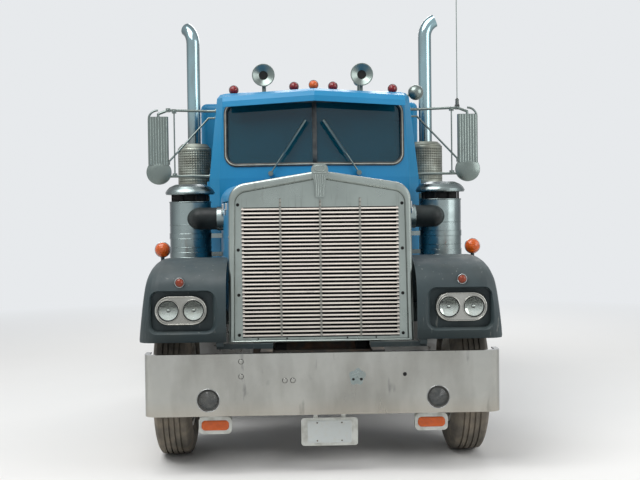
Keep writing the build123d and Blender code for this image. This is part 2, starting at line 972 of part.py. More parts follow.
with BuildPart() as fender_outer:
    fender_block(0, fender_inner_x)
with BuildPart() as fender_core:
    fender_block(fender_wall, fender_inner_x - 1)


def lamp_recess_outline(margin):
    """Outline of the headlamp pocket, grown by the margin."""
    with Locations(((lamp_recess_inner + lamp_recess_outer) / 2, (lamp_recess_low + lamp_recess_high) / 2)):
        RectangleRounded(
            lamp_recess_outer - lamp_recess_inner + 2 * margin,
            lamp_recess_high - lamp_recess_low + 2 * margin,
            lamp_recess_round + margin,
        )


with BuildPart() as lamp_collar:
    with BuildSketch(across(lamp_recess_d + 6)):
        lamp_recess_outline(lamp_collar_wall)
    extrude(amount=lamp_recess_d + 6 - 100)
    add(fender_outer.part, mode=Mode.INTERSECT)
# Rounded lip where the pocket meets the fender's face
with BuildPart() as lamp_lip:
    for d, margin in ((205, -1), (190, 3), (178, 9), (168, 17), (150, 40)):
        with BuildSketch(across(d)):
            lamp_recess_outline(margin)
    loft(ruled=True)
with BuildPart() as fender_stay:
    box_between((fender_inner_x - 2, 1300, 1010), (1160, 1390, 1050))
    add(fender_outer.part, mode=Mode.INTERSECT)
    box_between((rail_outer_x + seat_gap, 1300, 1010), (fender_inner_x + 2, 1362, 1050))
    box_between((rail_outer_x + seat_gap, 1300, 930), (rail_outer_x + 12, 1362, 1050))
with BuildPart() as fender_left:
    add(fender_outer.part)
    add(fender_core.part, mode=Mode.SUBTRACT)
    cut_between((500, 0, 600), (1400, 1600, fender_low))
    # Wheel arch in the outer side
    with BuildSketch(Plane.YZ.offset(1000)):
        with Locations((at(front_axle_d), tyre_radius)):
            Circle(arch_radius)
    extrude(amount=400, mode=Mode.SUBTRACT)
    # Pocket round the headlamps
    add(lamp_collar.part)
    with BuildSketch(across(lamp_recess_d)):
        lamp_recess_outline(0)
    extrude(amount=lamp_recess_d - 100, mode=Mode.SUBTRACT)
    add(lamp_lip.part, mode=Mode.SUBTRACT)
    # Stalk of the crown lamp
    with Locations((ball_x, at(ball_d), fender_crown_z - 15)):
        Cylinder(14, 70)
    # Rear stay, inside the tail, and front stay, under the lip
    add(fender_stay.part)
    box_between((rail_outer_x - rail_flange, 215, horn_top + seat_gap), (740, 262, horn_top + 34))
    box_between((690, 186, horn_top + 20), (740, 262, fender_low + 30))
    add(hood_wide.part, mode=Mode.SUBTRACT)
with BuildPart() as fenders:
    add(fender_left.part)
    mirror(about=Plane.YZ)
finish(fenders, "fenders")

# Sun visor over the windshield
visor_section = [
    # d, z of the upper side, then back along the lower side
    (visor_front_d, visor_low_z),
    (visor_front_d + 8, visor_low_z + 45),
    (visor_front_d + 45, visor_low_z + 88),
    (visor_front_d + 120, visor_low_z + 113),
    (visor_front_d + 330, visor_low_z + 121),
    (visor_front_d + 330, visor_low_z + 111),
    (visor_front_d + 122, visor_low_z + 105),
    (visor_front_d + 50, visor_low_z + 81),
    (visor_front_d + 15, visor_low_z + 42),
    (visor_front_d + 8, visor_low_z - 2),
]
with BuildPart() as visor:
    with BuildSketch(Plane.YZ):
        side_face(visor_section)
    extrude(amount=900, dir=(1, vee_slope, -visor_drop / visor_half))
    cut_between((visor_half, 1300, 2500), (1200, 2100, 3000))
    add(cab_outer.part, mode=Mode.SUBTRACT)
    kept = visor.solids().sort_by(Axis.Y)[0]
with BuildPart() as visor_pair:
    add(kept)
    mirror(about=Plane.YZ)
finish(visor_pair, "visor")

# Headlamp bezels
with BuildPart() as headlamp_bezels:
    for side in (-1, 1):
        with BuildSketch(across(bezel_front_d)):
            with Locations((side * headlamp_x, headlamp_z)):
                RectangleRounded(bezel_width, bezel_height, 88)
        extrude(amount=-(lamp_recess_d - bezel_front_d - seat_gap))
    bezel_faces = headlamp_bezels.faces().group_by(Axis.Y)[0]
    chamfer(bezel_faces.edges(), 10)
    for side in (-1, 1):
        with BuildSketch(across(bezel_front_d - 5)):
            with Locations((side * headlamp_x, headlamp_z)):
                with GridLocations(lamp_spacing, 1, 2, 1):
                    Circle(lamp_radius + seat_gap)
        extrude(amount=-31, mode=Mode.SUBTRACT)
finish(headlamp_bezels, "headlamp_bezels")

# White lamps: the four headlamps and the two driving lamps in the bumper
with BuildPart() as white_lamps:
    with BuildSketch(across(bezel_front_d + 8)):
        with Locations((-headlamp_x, headlamp_z), (headlamp_x, headlamp_z)):
            with GridLocations(lamp_spacing, 1, 2, 1):
                Circle(lamp_radius)
    extrude(amount=-(18 - seat_gap))
    chamfer(white_lamps.faces().group_by(Axis.Y)[0].edges(), 6)
    with BuildSketch(across(3)):
        with Locations((-fog_x, fog_z), (fog_x, fog_z)):
            Circle(fog_radius - seat_gap)
    extrude(amount=-46)
finish(white_lamps, "white_lamps")

# Amber lamps: brows and crowns of the fenders, turn lamps, and the middle of the roof
with BuildPart() as brow_marker:
    with BuildSketch(across(marker_d)):
        with Locations((marker_x, marker_z)):
            Circle(marker_radius)
    extrude(amount=-80)
    add(fender_outer.part, mode=Mode.SUBTRACT)
with BuildPart() as crown_ball:
    with Locations((ball_x, at(ball_d), ball_z)):
        Sphere(ball_radius)
    with Locations((ball_x, at(ball_d), fender_crown_z + 20 - 100 + seat_gap)):
        Cylinder(30, 200, mode=Mode.SUBTRACT)
with BuildPart() as roof_ball:
    with Locations((0, at(roof_lamp_ds[0]), roof_lamp_z)):
        Sphere(roof_lamp_radius)
    add(cab_outer.part, mode=Mode.SUBTRACT)
    add(visor_pair.part, mode=Mode.SUBTRACT)
with BuildPart() as amber_lamps:
    add(brow_marker.part)
    add(crown_ball.part)
    with BuildSketch(across(turn_lamp_d - 8)):
        with Locations((turn_lamp_x, turn_lamp_z)):
            RectangleRounded(turn_lens_width, turn_lens_height, turn_lens_round)
    extrude(amount=-(26 - seat_gap))
    mirror(about=Plane.YZ)
    add(roof_ball.part)
finish(amber_lamps, "amber_lamps")

# Red lamps: four on the roof and four at the tail
with BuildPart() as roof_reds:
    for x, d, z in ((163, roof_lamp_ds[1], roof_lamp_side_z), (670, roof_lamp_ds[2], roof_lamp_end_z)):
        with Locations((x, at(d), z)):
            Sphere(roof_lamp_radius)
    add(cab_outer.part, mode=Mode.SUBTRACT)
    add(visor_pair.part, mode=Mode.SUBTRACT)
with BuildPart() as red_lamps:
    add(roof_reds.part)
    for x in (180, 300):
        with BuildSketch(across(rail_end_d + seat_gap)):
            with Locations((x, (rail_top + rail_bottom) / 2)):
                Circle(50)
        extrude(amount=-28)
    mirror(about=Plane.YZ)
finish(red_lamps, "red_lamps")

# Two air horns and the ball lamp at the roof's corner
horn_profile = [
    # distance from the horn's axis, distance behind its mouth
    (0, 20),
    (30, 30),
    (horn_bell - 8, 0),
    (horn_bell, 0),
    (62, 40),
    (34, 120),
    (22, 440),
    (44, 445),
    (44, 500),
    (0, 500),
]
stalk_foot = Vector(corner_lamp_x - 130, at(corner_lamp_d), corner_lamp_z - 47)
stalk_run = Vector(corner_lamp_x, at(corner_lamp_d), corner_lamp_z) - stalk_foot
with BuildPart() as corner_stalk:
    with BuildSketch(Plane(origin=stalk_foot, z_dir=stalk_run)):
        Circle(13)
    extrude(amount=stalk_run.length)
with BuildPart() as corner_lamp:
    with Locations((corner_lamp_x, at(corner_lamp_d), corner_lamp_z)):
        Sphere(corner_lamp_radius)
    add(corner_stalk.part)
    add(cab_outer.part, mode=Mode.SUBTRACT)
with BuildPart() as roof_fittings:
    with BuildSketch(Plane.XY.offset(horn_z)):
        Polygon(*[(horn_x + r, at(horn_front_d + d)) for r, d in horn_profile], align=None)
    revolve(axis=Axis((horn_x, 0, horn_z), (0, 1, 0)))
    for d in (horn_front_d + 100, horn_front_d + 400):
        box_between((horn_x - 14, d, roof_z + seat_gap), (horn_x + 14, d + 40, horn_z - 10))
    mirror(about=Plane.YZ)
    add(corner_lamp.part)
finish(roof_fittings, "roof_fittings")

# Wipers
wiper_foot_d = cab_front_d + vee_slope * wiper_base_x
with BuildPart() as wiper_boss:
    with BuildSketch(across(wiper_foot_d - 50)):
        with Locations((wiper_base_x, wiper_base_z)):
            Circle(20)
    extrude(amount=-90)
    add(cab_outer.part, mode=Mode.SUBTRACT)
with BuildPart() as wipers:
    wiper_tip_lean = lean_back * (wiper_tip_z - belt_z) / (eave_z - belt_z)
    wiper_tip_d = cab_front_d + vee_slope * wiper_tip_x + wiper_tip_lean
    wiper_foot = Vector(wiper_base_x, at(wiper_foot_d - 34), wiper_base_z)
    wiper_tip = Vector(wiper_tip_x, at(wiper_tip_d - 34), wiper_tip_z)
    wiper_run = wiper_tip - wiper_foot
    with BuildSketch(Plane(origin=wiper_foot, z_dir=wiper_run)):
        Circle(6)
    extrude(amount=wiper_run.length * 0.97)
    with BuildSketch(Plane(origin=wiper_foot + wiper_run * 0.38, z_dir=wiper_run, x_dir=(1, -vee_slope, 0))):
        Rectangle(14, 24)
    extrude(amount=wiper_run.length * 0.62)
    add(wiper_boss.part)
    mirror(about=Plane.YZ)
finish(wipers, "wipers")


def door_face_x(z):
    """Outer face of the cab's side at a height."""
    return cab_half - side_lean_in * max(0, z - belt_z) / (eave_z - belt_z)


# Mirrors on their tube frames, carried by the doors
for side, name in ((1, "left"), (-1, "right")):
    with BuildPart() as mirror_frame:
        for path, radius in mirror_tubes:
            foot_x, foot_d, foot_z = path[0]
            foot_x = door_face_x(foot_z - 24) + seat_gap
            path = [(foot_x, foot_d, foot_z), *path[1:]]
            with Locations((side * (foot_x + 5), at(foot_d), foot_z)):
                Cylinder(22, 10, rotation=(0, 90, 0))
            for start, end in zip(path, path[1:]):
                a = Vector(side * start[0], at(start[1]), start[2])
                b = Vector(side * end[0], at(end[1]), end[2])
                with BuildSketch(Plane(origin=a, z_dir=b - a)):
                    Circle(radius)
                extrude(amount=(b - a).length)
            for joint in path[1:-1]:
                with Locations((side * joint[0], at(joint[1]), joint[2])):
                    Sphere(radius)
        near, far = sorted((side * (mirror_x - mirror_width / 2), side * (mirror_x + mirror_width / 2)))
        box_between((near, mirror_d, mirror_low), (far, mirror_d + 48, mirror_high))
        with BuildSketch(across(mirror_d + 5)):
            with Locations((side * mirror_x, spot_z)):
                Circle(spot_radius)
        extrude(amount=-30)
        near, far = sorted((side * (mirror_x - 9), side * (mirror_x + 9)))
        box_between((near, mirror_d + 14, spot_z), (far, mirror_d + 30, mirror_low + 5))
        if name == "left":
            with Locations((antenna_x, at(1905), 2700)):
                Cylinder(14, 80)
            with Locations((antenna_x, at(1905), (2700 + antenna_top) / 2)):
                Cylinder(4, antenna_top - 2700)
    finish(mirror_frame, f"mirror_{name}")

# Sleeper with its bunk inside and the boot that joins it to the cab
sleeper_back_d = sleeper_front_d + sleeper_length
with BuildPart() as sleeper_shell:
    box_between((-sleeper_half, sleeper_front_d, sleeper_low), (sleeper_half, sleeper_back_d, sleeper_top))
    fillet(sleeper_shell.edges().filter_by(Axis.Z), sleeper_round)
    fillet(sleeper_shell.faces().sort_by(Axis.Z)[-1].edges(), sleeper_round - 12)
    cut_between(
        (-sleeper_half + sleeper_wall, sleeper_front_d + sleeper_wall, sleeper_low + sleeper_wall),
        (sleeper_half - sleeper_wall, sleeper_back_d - sleeper_wall, sleeper_top - sleeper_wall),
    )
    cut_between(
        (-neck_half + neck_lip, sleeper_front_d - 5, neck_low + neck_lip),
        (neck_half - neck_lip, sleeper_front_d + sleeper_wall + 5, neck_high - neck_lip),
    )
    for d in (sleeper_front_d + 120, sleeper_back_d - 210):
        for side in (-1, 1):
            near, far = sorted((side * (rail_outer_x - rail_flange), side * rail_outer_x))
            box_between((near, d, rail_top + seat_gap), (far, d + 90, sleeper_low + 1))
finish(sleeper_shell, "sleeper_shell")

with BuildPart() as sleeper_boot:
    box_between(
        (-neck_half, cab_back_d + seat_gap, neck_low),
        (neck_half, sleeper_front_d - seat_gap, neck_high),
    )
    fillet(sleeper_boot.edges().filter_by(Axis.Y), neck_round)
    with BuildSketch(across(cab_back_d - 5)):
        with Locations((0, (neck_low + neck_high) / 2)):
            RectangleRounded(
                2 * (neck_half - boot_wall),
                neck_high - neck_low - 2 * boot_wall,
                neck_round - boot_wall + 5,
            )
    extrude(amount=-(sleeper_front_d - cab_back_d + 10), mode=Mode.SUBTRACT)
finish(sleeper_boot, "sleeper_boot")

# Seats and bunk
cab_floor_z = cab_low + floor_wall
cushion_low = cab_floor_z + seat_base_height
backrest_d = seat_d + cushion_length - 70
with BuildPart() as seats_and_bunk:
    for side in (-1, 1):
        near, far = sorted((side * (seat_x - seat_half), side * (seat_x + seat_half)))
        box_between(
            (near + 60, seat_d + 60, cab_floor_z + seat_gap),
            (far - 60, seat_d + cushion_length - 80, cushion_low + 1),
        )
        box_between(
            (near, seat_d, cushion_low),
            (far, seat_d + cushion_length, cushion_low + cushion_height),
        )
        box_between(
            (near, backrest_d, cushion_low + 100),
            (far, backrest_d + backrest_depth, cushion_low + 100 + backrest_height),
        )
    bunk_half = sleeper_half - sleeper_wall - seat_gap
    box_between(
        (-bunk_half, sleeper_front_d + sleeper_wall + 90, sleeper_low + sleeper_wall + seat_gap),
        (bunk_half, sleeper_back_d - sleeper_wall - seat_gap, bunk_top),
    )
finish(seats_and_bunk, "seats_and_bunk")

# Dashboard with the steering column
wheel_centre = Vector(seat_x, at(steering_wheel_d), steering_wheel_z)
wheel_axis = Vector(0, sin(radians(column_tilt)), cos(radians(column_tilt)))
with BuildPart() as dashboard:
    with BuildSketch(Plane.YZ.offset(-dash_half)):
        side_face([
            (1870, cab_floor_z + 330),
            (2000, cab_floor_z + 520),
            (2000, cab_floor_z + 760),
            (1880, cab_floor_z + 820),
            (1640, cab_floor_z + 820),
            (1640, cab_floor_z + 330),
        ])
    extrude(amount=2 * dash_half)
    add(cab_inner.part, mode=Mode.INTERSECT)
    with BuildSketch(Plane(origin=wheel_centre - wheel_axis * 330, z_dir=wheel_axis)):
        Circle(38)
    extrude(amount=330 - column_gap - 32)
finish(dashboard, "dashboard")

with BuildPart() as steering_wheel:
    wheel_plane = Plane(origin=wheel_centre, z_dir=wheel_axis, x_dir=(1, 0, 0))
    with BuildSketch(Plane(origin=wheel_centre, x_dir=wheel_axis, z_dir=(1, 0, 0))):
        with Locations((0, steering_wheel_radius)):
            Circle(13)
    revolve(axis=Axis(wheel_centre, wheel_axis))
    with BuildSketch(wheel_plane.offset(-32)):
        Circle(48)
    extrude(amount=40)
    for angle in (90, 210, 330):
        spoke = Vector(cos(radians(angle)), sin(radians(angle)), 0)
        spoke_run = wheel_plane.from_local_coords(spoke) - wheel_centre
        with BuildSketch(Plane(origin=wheel_centre, z_dir=spoke_run)):
            Circle(9)
        extrude(amount=steering_wheel_radius)
finish(steering_wheel, "steering_wheel")

# Radiator core, engine and gearbox
gearbox_nose_d = gearbox_back_d + gearbox_nose_length
with BuildPart() as radiator_core:
    box_between((-core_half, core_d, core_low), (core_half, core_d + 80, core_high))
    for side in (-1, 1):
        near, far = sorted((side * 250, side * 330))
        box_between((near, core_d - 60, horn_top - 30 + seat_gap), (far, core_d + 80, core_low + 1))
finish(radiator_core, "radiator_core")

with BuildPart() as engine_block:
    box_between((-engine_half, engine_front_d, engine_low), (engine_half, engine_back_d, engine_top))
    for d in engine_foot_ds:
        for side in (-1, 1):
            near, far = sorted((side * (engine_half - 1), side * (rail_outer_x - 5)))
            box_between((near, d, rail_top + seat_gap), (far, d + 90, rail_top + 60))
finish(engine_block, "engine_block")

with BuildPart() as gearbox:
    box_between(
        (-gearbox_half, engine_back_d + seat_gap, rail_bottom + 90 + seat_gap),
        (gearbox_half, gearbox_back_d, gearbox_top),
    )
    box_between((-gearbox_nose_half, gearbox_back_d - 1, 850), (gearbox_nose_half, gearbox_nose_d, 1010))
finish(gearbox, "gearbox")

# Drive axles with the propeller shafts between them and the gearbox
shaft_runs = [
    # start d, start z, end d, end z
    (gearbox_nose_d + seat_gap, 900, centre_bearing_d - seat_gap, 850),
    (centre_bearing_d + 70 + seat_gap, 850, drive_axle_ds[0] - 150, 590),
    (drive_axle_ds[0] + 150, 590, drive_axle_ds[1] - 150, 560),
]
with BuildPart() as drive_axles:
    for d in drive_axle_ds:
        with Locations((0, at(d), tyre_radius)):
            Sphere(axle_bowl_radius)
            Cylinder(axle_tube_radius, 2 * (dual_inner_x - 30), rotation=(0, 90, 0))
            Cylinder(axle_end_radius, 2 * axle_end_x, rotation=(0, 90, 0))
        for side in (-1, 1):
            near, far = sorted((side * (beam_x - 45), side * (beam_x + 45)))
            box_between((near, d - 50, beam_seat_z + seat_gap), (far, d + 50, tyre_radius))
    for start_d, start_z, end_d, end_z in shaft_runs:
        for yoke_d, yoke_z in ((start_d, start_z), (end_d - yoke_length, end_z)):
            with BuildSketch(across(yoke_d)):
                with Locations((0, yoke_z)):
                    Circle(yoke_radius)
            extrude(amount=-yoke_length)
        start = Vector(0, at(start_d + yoke_length / 2), start_z)
        run = Vector(0, at(end_d - yoke_length / 2), end_z) - start
        with BuildSketch(Plane(origin=start, z_dir=run)):
            Circle(shaft_radius)
        extrude(amount=run.length)
finish(drive_axles, "drive_axles")

# Springs in front, walking beams with their saddles behind
with BuildPart() as suspension:
    for side in (-1, 1):
        with BuildSketch(Plane.YZ.offset(side * spring_x - spring_width / 2)):
            side_face(spring_outline)
        extrude(amount=spring_width)
        near, far = sorted((side * (spring_x - 52), side * (spring_x + 30)))
        box_between((near, 170, 545), (far, 250, horn_bottom - seat_gap))
        box_between((near, 1300, 590), (far, 1370, rail_bottom - seat_gap))
        with BuildSketch(Plane.YZ.offset(side * beam_x - 40)):
            side_face([
                (drive_axle_ds[0] - 90, beam_seat_z - 90),
                (tandem_d - 200, beam_seat_z - 60),
                (tandem_d + 200, beam_seat_z - 60),
                (drive_axle_ds[1] + 90, beam_seat_z - 90),
                (drive_axle_ds[1] + 90, beam_seat_z),
                (tandem_d + 330, beam_seat_z),
                (tandem_d + 160, beam_seat_z + 90),
                (tandem_d - 160, beam_seat_z + 90),
                (tandem_d - 330, beam_seat_z),
                (drive_axle_ds[0] - 90, beam_seat_z),
            ])
        extrude(amount=80)
        near, far = sorted((side * (rail_outer_x + seat_gap), side * (beam_x + 40)))
        box_between((near, tandem_d - 110, beam_seat_z + 60), (far, tandem_d + 110, rail_top - 40))
finish(suspension, "suspension")

# Front axle beam with its kingpins
axle_half = [
    # x, z of the beam's left half, from its lower middle round the eye
    (kingpin_x - 170, 400),
    (kingpin_x - 60, axle_eye_low),
    (kingpin_x + 10, axle_eye_low),
    (kingpin_x + 10, axle_eye_high),
    (kingpin_x - 70, axle_eye_high),
    (kingpin_x - 200, 490),
]
with BuildPart() as front_axle:
    with BuildSketch(across(front_axle_d - 45)):
        Polygon(*axle_half, *[(-x, z) for x, z in reversed(axle_half)], align=None)
    extrude(amount=-90)
    for side in (-1, 1):
        with Locations((side * kingpin_x, at(front_axle_d), tyre_radius)):
            Cylinder(48, axle_eye_high - axle_eye_low)
            Cylinder(kingpin_radius, 250)
finish(front_axle, "front_axle")

# Steering knuckles with their spindles and arms
arm_end_d = front_axle_d + steering_arm
for side, name in ((1, "left"), (-1, "right")):
    with BuildPart() as knuckle:
        for low, high in (
            (knuckle_low, axle_eye_low - pin_gap),
            (axle_eye_high + pin_gap, knuckle_high),
        ):
            with Locations((side * kingpin_x, at(front_axle_d), (low + high) / 2)):
                Cylinder(46, high - low)
            near, far = sorted((side * kingpin_x, side * (kingpin_x + knuckle_plate)))
            box_between((near, front_axle_d - 42, low), (far, front_axle_d + 42, high))
        near, far = sorted((side * (kingpin_x + knuckle_plate - 40), side * (kingpin_x + knuckle_plate)))
        box_between((near, front_axle_d - 60, knuckle_low), (far, front_axle_d + 60, knuckle_high))
        spindle_x = kingpin_x + knuckle_plate - 5
        with Locations((side * (spindle_x + spindle_end_x) / 2, at(front_axle_d), tyre_radius)):
            Cylinder(spindle_radius, spindle_end_x - spindle_x, rotation=(0, 90, 0))
        # Steering arm and its ball pin
        arm_top = knuckle_low + 28
        near, far = sorted((side * (kingpin_x - 24), side * (kingpin_x + 24)))
        box_between((near, front_axle_d + 40, knuckle_low), (far, arm_end_d, arm_top))
        with Locations((side * kingpin_x, at(arm_end_d), (knuckle_low + arm_top) / 2)):
            Cylinder(24, arm_top - knuckle_low)
        with Locations((side * kingpin_x, at(arm_end_d), tie_rod_z + 10)):
            Cylinder(ball_pin_radius, 64)
        with Locations((side * kingpin_x, at(front_axle_d), tyre_radius)):
            Cylinder(kingpin_radius + pin_gap, 300, mode=Mode.SUBTRACT)
    finish(knuckle, f"knuckle_{name}")

with BuildPart() as tie_rod:
    with Locations((0, at(arm_end_d), tie_rod_z)):
        Cylinder(18, 2 * (kingpin_x - 20), rotation=(0, 90, 0))
    for side in (-1, 1):
        with Locations((side * kingpin_x, at(arm_end_d), tie_rod_z)):
            Cylinder(30, 40)
            Cylinder(ball_pin_radius + pin_gap, 60, mode=Mode.SUBTRACT)
finish(tie_rod, "tie_rod")


# Wheels
bead_half = rim_width / 2 - 9 - seat_gap
tyre_section = [
    # x from the middle of the tyre, radius
    (0, tyre_radius),
    (85, tyre_radius - 3),
    (108, tyre_radius - 16),
    (125, tyre_radius - 55),
    (tyre_width / 2, tyre_radius - 110),
    (130, rim_flange + 45),
    (bead_half, rim_flange + 1),
    (bead_half, bead_radius + seat_gap),
    (bead_half - 22, bead_radius + seat_gap),
    (bead_half - 12, rim_flange + 30),
    (tyre_width / 2 - 22, tyre_radius - 110),
    (100, tyre_radius - 50),
    (0, tyre_radius - 26),
]


def tyre_ring(centre_x, d):
    right = [(centre_x + x, at(d) + r) for x, r in tyre_section]
    left = [(centre_x - x, at(d) + r) for x, r in reversed(tyre_section[1:-1])]
    with BuildSketch(Plane.XY.offset(tyre_radius)) as ring:
        Polygon(*right, *left, align=None)
    revolve(ring.sketch, axis=Axis((0, at(d), tyre_radius), (1, 0, 0)))


def rim_ring(centre_x, d):
    half = rim_width / 2
    section = [
        (-half, rim_flange),
        (-half + 9, rim_flange),
        (-half + 9, bead_radius),
        (half - 9, bead_radius),
        (half - 9, rim_flange),
        (half, rim_flange),
        (half, bead_radius - rim_wall),
        (-half, bead_radius - rim_wall),
    ]
    with BuildSketch(Plane.XY.offset(tyre_radius)) as ring:
        Polygon(*[(centre_x + x, at(d) + r) for x, r in section], align=None)
    revolve(ring.sketch, axis=Axis((0, at(d), tyre_radius), (1, 0, 0)))


def wheel_turned(points, d):
    with BuildSketch(Plane.XY.offset(tyre_radius)) as profile:
        Polygon(*[(x, at(d) + r) for x, r in points], align=None)
    revolve(profile.sketch, axis=Axis((0, at(d), tyre_radius), (1, 0, 0)))


def wheel_holes(x, d, reach):
    start = Plane(origin=(x - reach, at(d), tyre_radius), x_dir=(0, 1, 0), z_dir=(1, 0, 0))
    with BuildSketch(start) as holes:
        with PolarLocations(hand_hole_circle, 10):
            Circle(hand_hole_radius)
    extrude(holes.sketch, amount=2 * reach, mode=Mode.SUBTRACT)


for side, name in ((1, "left"), (-1, "right")):
    with BuildPart() as front_tyre:
        tyre_ring(side * front_wheel_x, front_axle_d)
    finish(front_tyre, f"tyre_front_{name}")
    face_x = side * (front_wheel_x + front_disc_offset)
    back = -side * disc_wall
    with BuildPart() as front_rim:
        rim_ring(side * front_wheel_x, front_axle_d)
        rim_edge = side * (front_wheel_x + 30)
        wheel_turned([
            (rim_edge, bead_radius - rim_wall + 1),
            (face_x - side * 12, 250),
            (face_x, 180),
            (face_x, spindle_radius + 6),
            (face_x + back, spindle_radius + 6),
            (face_x + back, 178),
            (face_x - side * 12 + back, 245),
            (rim_edge + back, bead_radius - rim_wall + 1),
        ], front_axle_d)
        wheel_holes(face_x, front_axle_d, 60)
        wheel_turned([
            (face_x - side * 1, hub_radius),
            (face_x + side * 12, hub_radius - 25),
            (face_x + side * 12, 0),
            (side * spindle_end_x + side * 5, 0),
            (side * spindle_end_x + side * 5, spindle_radius + hub_gap),
            (side * hub_back_x, spindle_radius + hub_gap),
            (side * hub_back_x, hub_radius),
        ], front_axle_d)
    finish(front_rim, f"rim_front_{name}")
    for place, d in zip(("mid", "rear"), drive_axle_ds):
        with BuildPart() as twin_tyres:
            for centre in (dual_centre_x - dual_half_spacing, dual_centre_x + dual_half_spacing):
                tyre_ring(side * centre, d)
        finish(twin_tyres, f"tyres_{place}_{name}")
        with BuildPart() as twin_rims:
            for centre in (dual_centre_x - dual_half_spacing, dual_centre_x + dual_half_spacing):
                rim_ring(side * centre, d)
            for offset, way in ((-disc_wall, -1), (disc_wall, 1)):
                plate_x0 = side * dual_centre_x
                plate_x1 = side * (dual_centre_x + offset)
                edge_x0 = side * (dual_centre_x + way * 105)
                edge_x1 = side * (dual_centre_x + way * 105 + offset)
                wheel_turned([
                    (edge_x0, bead_radius - rim_wall + 1),
                    (plate_x0 + side * way * 12, 235),
                    (plate_x0, 190),
                    (plate_x0, axle_end_radius + hub_gap),
                    (plate_x1, axle_end_radius + hub_gap),
                    (plate_x1, 195),
                    (plate_x1 + side * way * 12, 242),
                    (edge_x1, bead_radius - rim_wall + 1),
                ], d)
            wheel_holes(side * dual_centre_x, d, 60)
            wheel_turned([
                (side * (dual_centre_x - 130), hub_radius),
                (side * (dual_centre_x + 150), hub_radius - 10),
                (side * (dual_centre_x + 150), 0),
                (side * (axle_end_x + 5), 0),
                (side * (axle_end_x + 5), axle_end_radius + hub_gap),
                (side * (dual_centre_x - 130), axle_end_radius + hub_gap),
            ], d)
        finish(twin_rims, f"rims_{place}_{name}")

# Air cleaners with their caps and straps
cleaner_profile = [
    (0, cleaner_low - 60),
    (90, cleaner_low - 60),
    (120, cleaner_low),
    (cleaner_radius, cleaner_low + 30),
    (cleaner_radius, cleaner_top),
    (neck_radius, cleaner_top + 4),
    (neck_radius, cap_low - 4),
    (cap_radius - 5, cap_low),
    (cap_radius, cap_low + 8),
    (cap_radius, cap_low + 22),
    (cap_radius - 10, cap_low + 38),
    (cap_radius - 34, cap_low + 62),
    (cap_radius - 80, cap_low + 82),
    (cap_radius - 130, cap_low + cap_height - 2),
    (0, cap_low + cap_height),
]
with BuildPart() as air_cleaners:
    with BuildSketch(Plane.XZ.offset(-at(cleaner_d))):
        Polygon(*[(cleaner_x + r, z) for r, z in cleaner_profile], align=None)
    revolve(axis=Axis((cleaner_x, at(cleaner_d), 0), (0, 0, 1)))
    for z in cleaner_strap_zs:
        with Locations((cleaner_x, at(cleaner_d), z)):
            Cylinder(cleaner_radius + 4, 46)
        box_between(
            (cowl_side_x, cleaner_d - 25, z - 18),
            (cleaner_x - cleaner_radius + 30, cleaner_d + 25, z + 18),
        )
    add(hood_wide.part, mode=Mode.SUBTRACT)
    mirror(about=Plane.YZ)
finish(air_cleaners, "air_cleaners")

with BuildPart() as cleaner_keep_out:
    with Locations((cleaner_x, at(cleaner_d), elbow_z)):
        Cylinder(cleaner_radius + seat_gap, 400)
# Each pipe runs outwards from the hood, past the front of its cleaner, and turns back into it
elbow_centre = Vector(elbow_x, at(elbow_d), elbow_z)
elbow_run = Vector(cleaner_x - 35, at(cleaner_d - 70), elbow_z) - elbow_centre
with BuildPart() as intake_pipes:
    with Locations(((cowl_side_x - 60 + elbow_x) / 2, at(elbow_d), elbow_z)):
        Cylinder(elbow_radius, elbow_x - cowl_side_x + 60, rotation=(0, 90, 0))
    with Locations(elbow_centre):
        Sphere(elbow_radius)
    with BuildSketch(Plane(origin=elbow_centre, z_dir=elbow_run)):
        Circle(elbow_radius - 2)
    extrude(amount=elbow_run.length)
    with Locations((cowl_side_x + 46, at(elbow_d), elbow_z)):
        Cylinder(elbow_radius + 5, 44, rotation=(0, 90, 0))
    add(hood_wide.part, mode=Mode.SUBTRACT)
    add(cleaner_keep_out.part, mode=Mode.SUBTRACT)
    mirror(about=Plane.YZ)
finish(intake_pipes, "intake_pipes")

# Mufflers with the masts that hold them
with BuildPart() as mufflers:
    with Locations((muffler_x, at(muffler_d), (muffler_low + muffler_top) / 2)):
        Cylinder(muffler_radius, muffler_top - muffler_low)
    chamfer(mufflers.faces().sort_by(Axis.Z)[-1].edges(), 30)
    chamfer(mufflers.faces().sort_by(Axis.Z)[0].edges(), 30)
    box_between((mast_x - 30, mast_d, rail_top + 15), (mast_x + 30, mast_d + 60, mast_top))
    foot_x = rail_outer_x - rail_flange
    box_between((foot_x, mast_d, rail_top + 15), (mast_x, mast_d + 60, rail_top + 70))
    box_between((foot_x, mast_d, rail_top + seat_gap), (rail_outer_x, mast_d + 60, rail_top + 16))
    for z in muffler_strap_zs:
        with Locations((muffler_x, at(muffler_d), z)):
            Cylinder(muffler_radius + 5, 50)
        box_between((mast_x, mast_d, z - 20), (muffler_x, mast_d + 60, z + 20))
    mirror(about=Plane.YZ)
finish(mufflers, "mufflers")

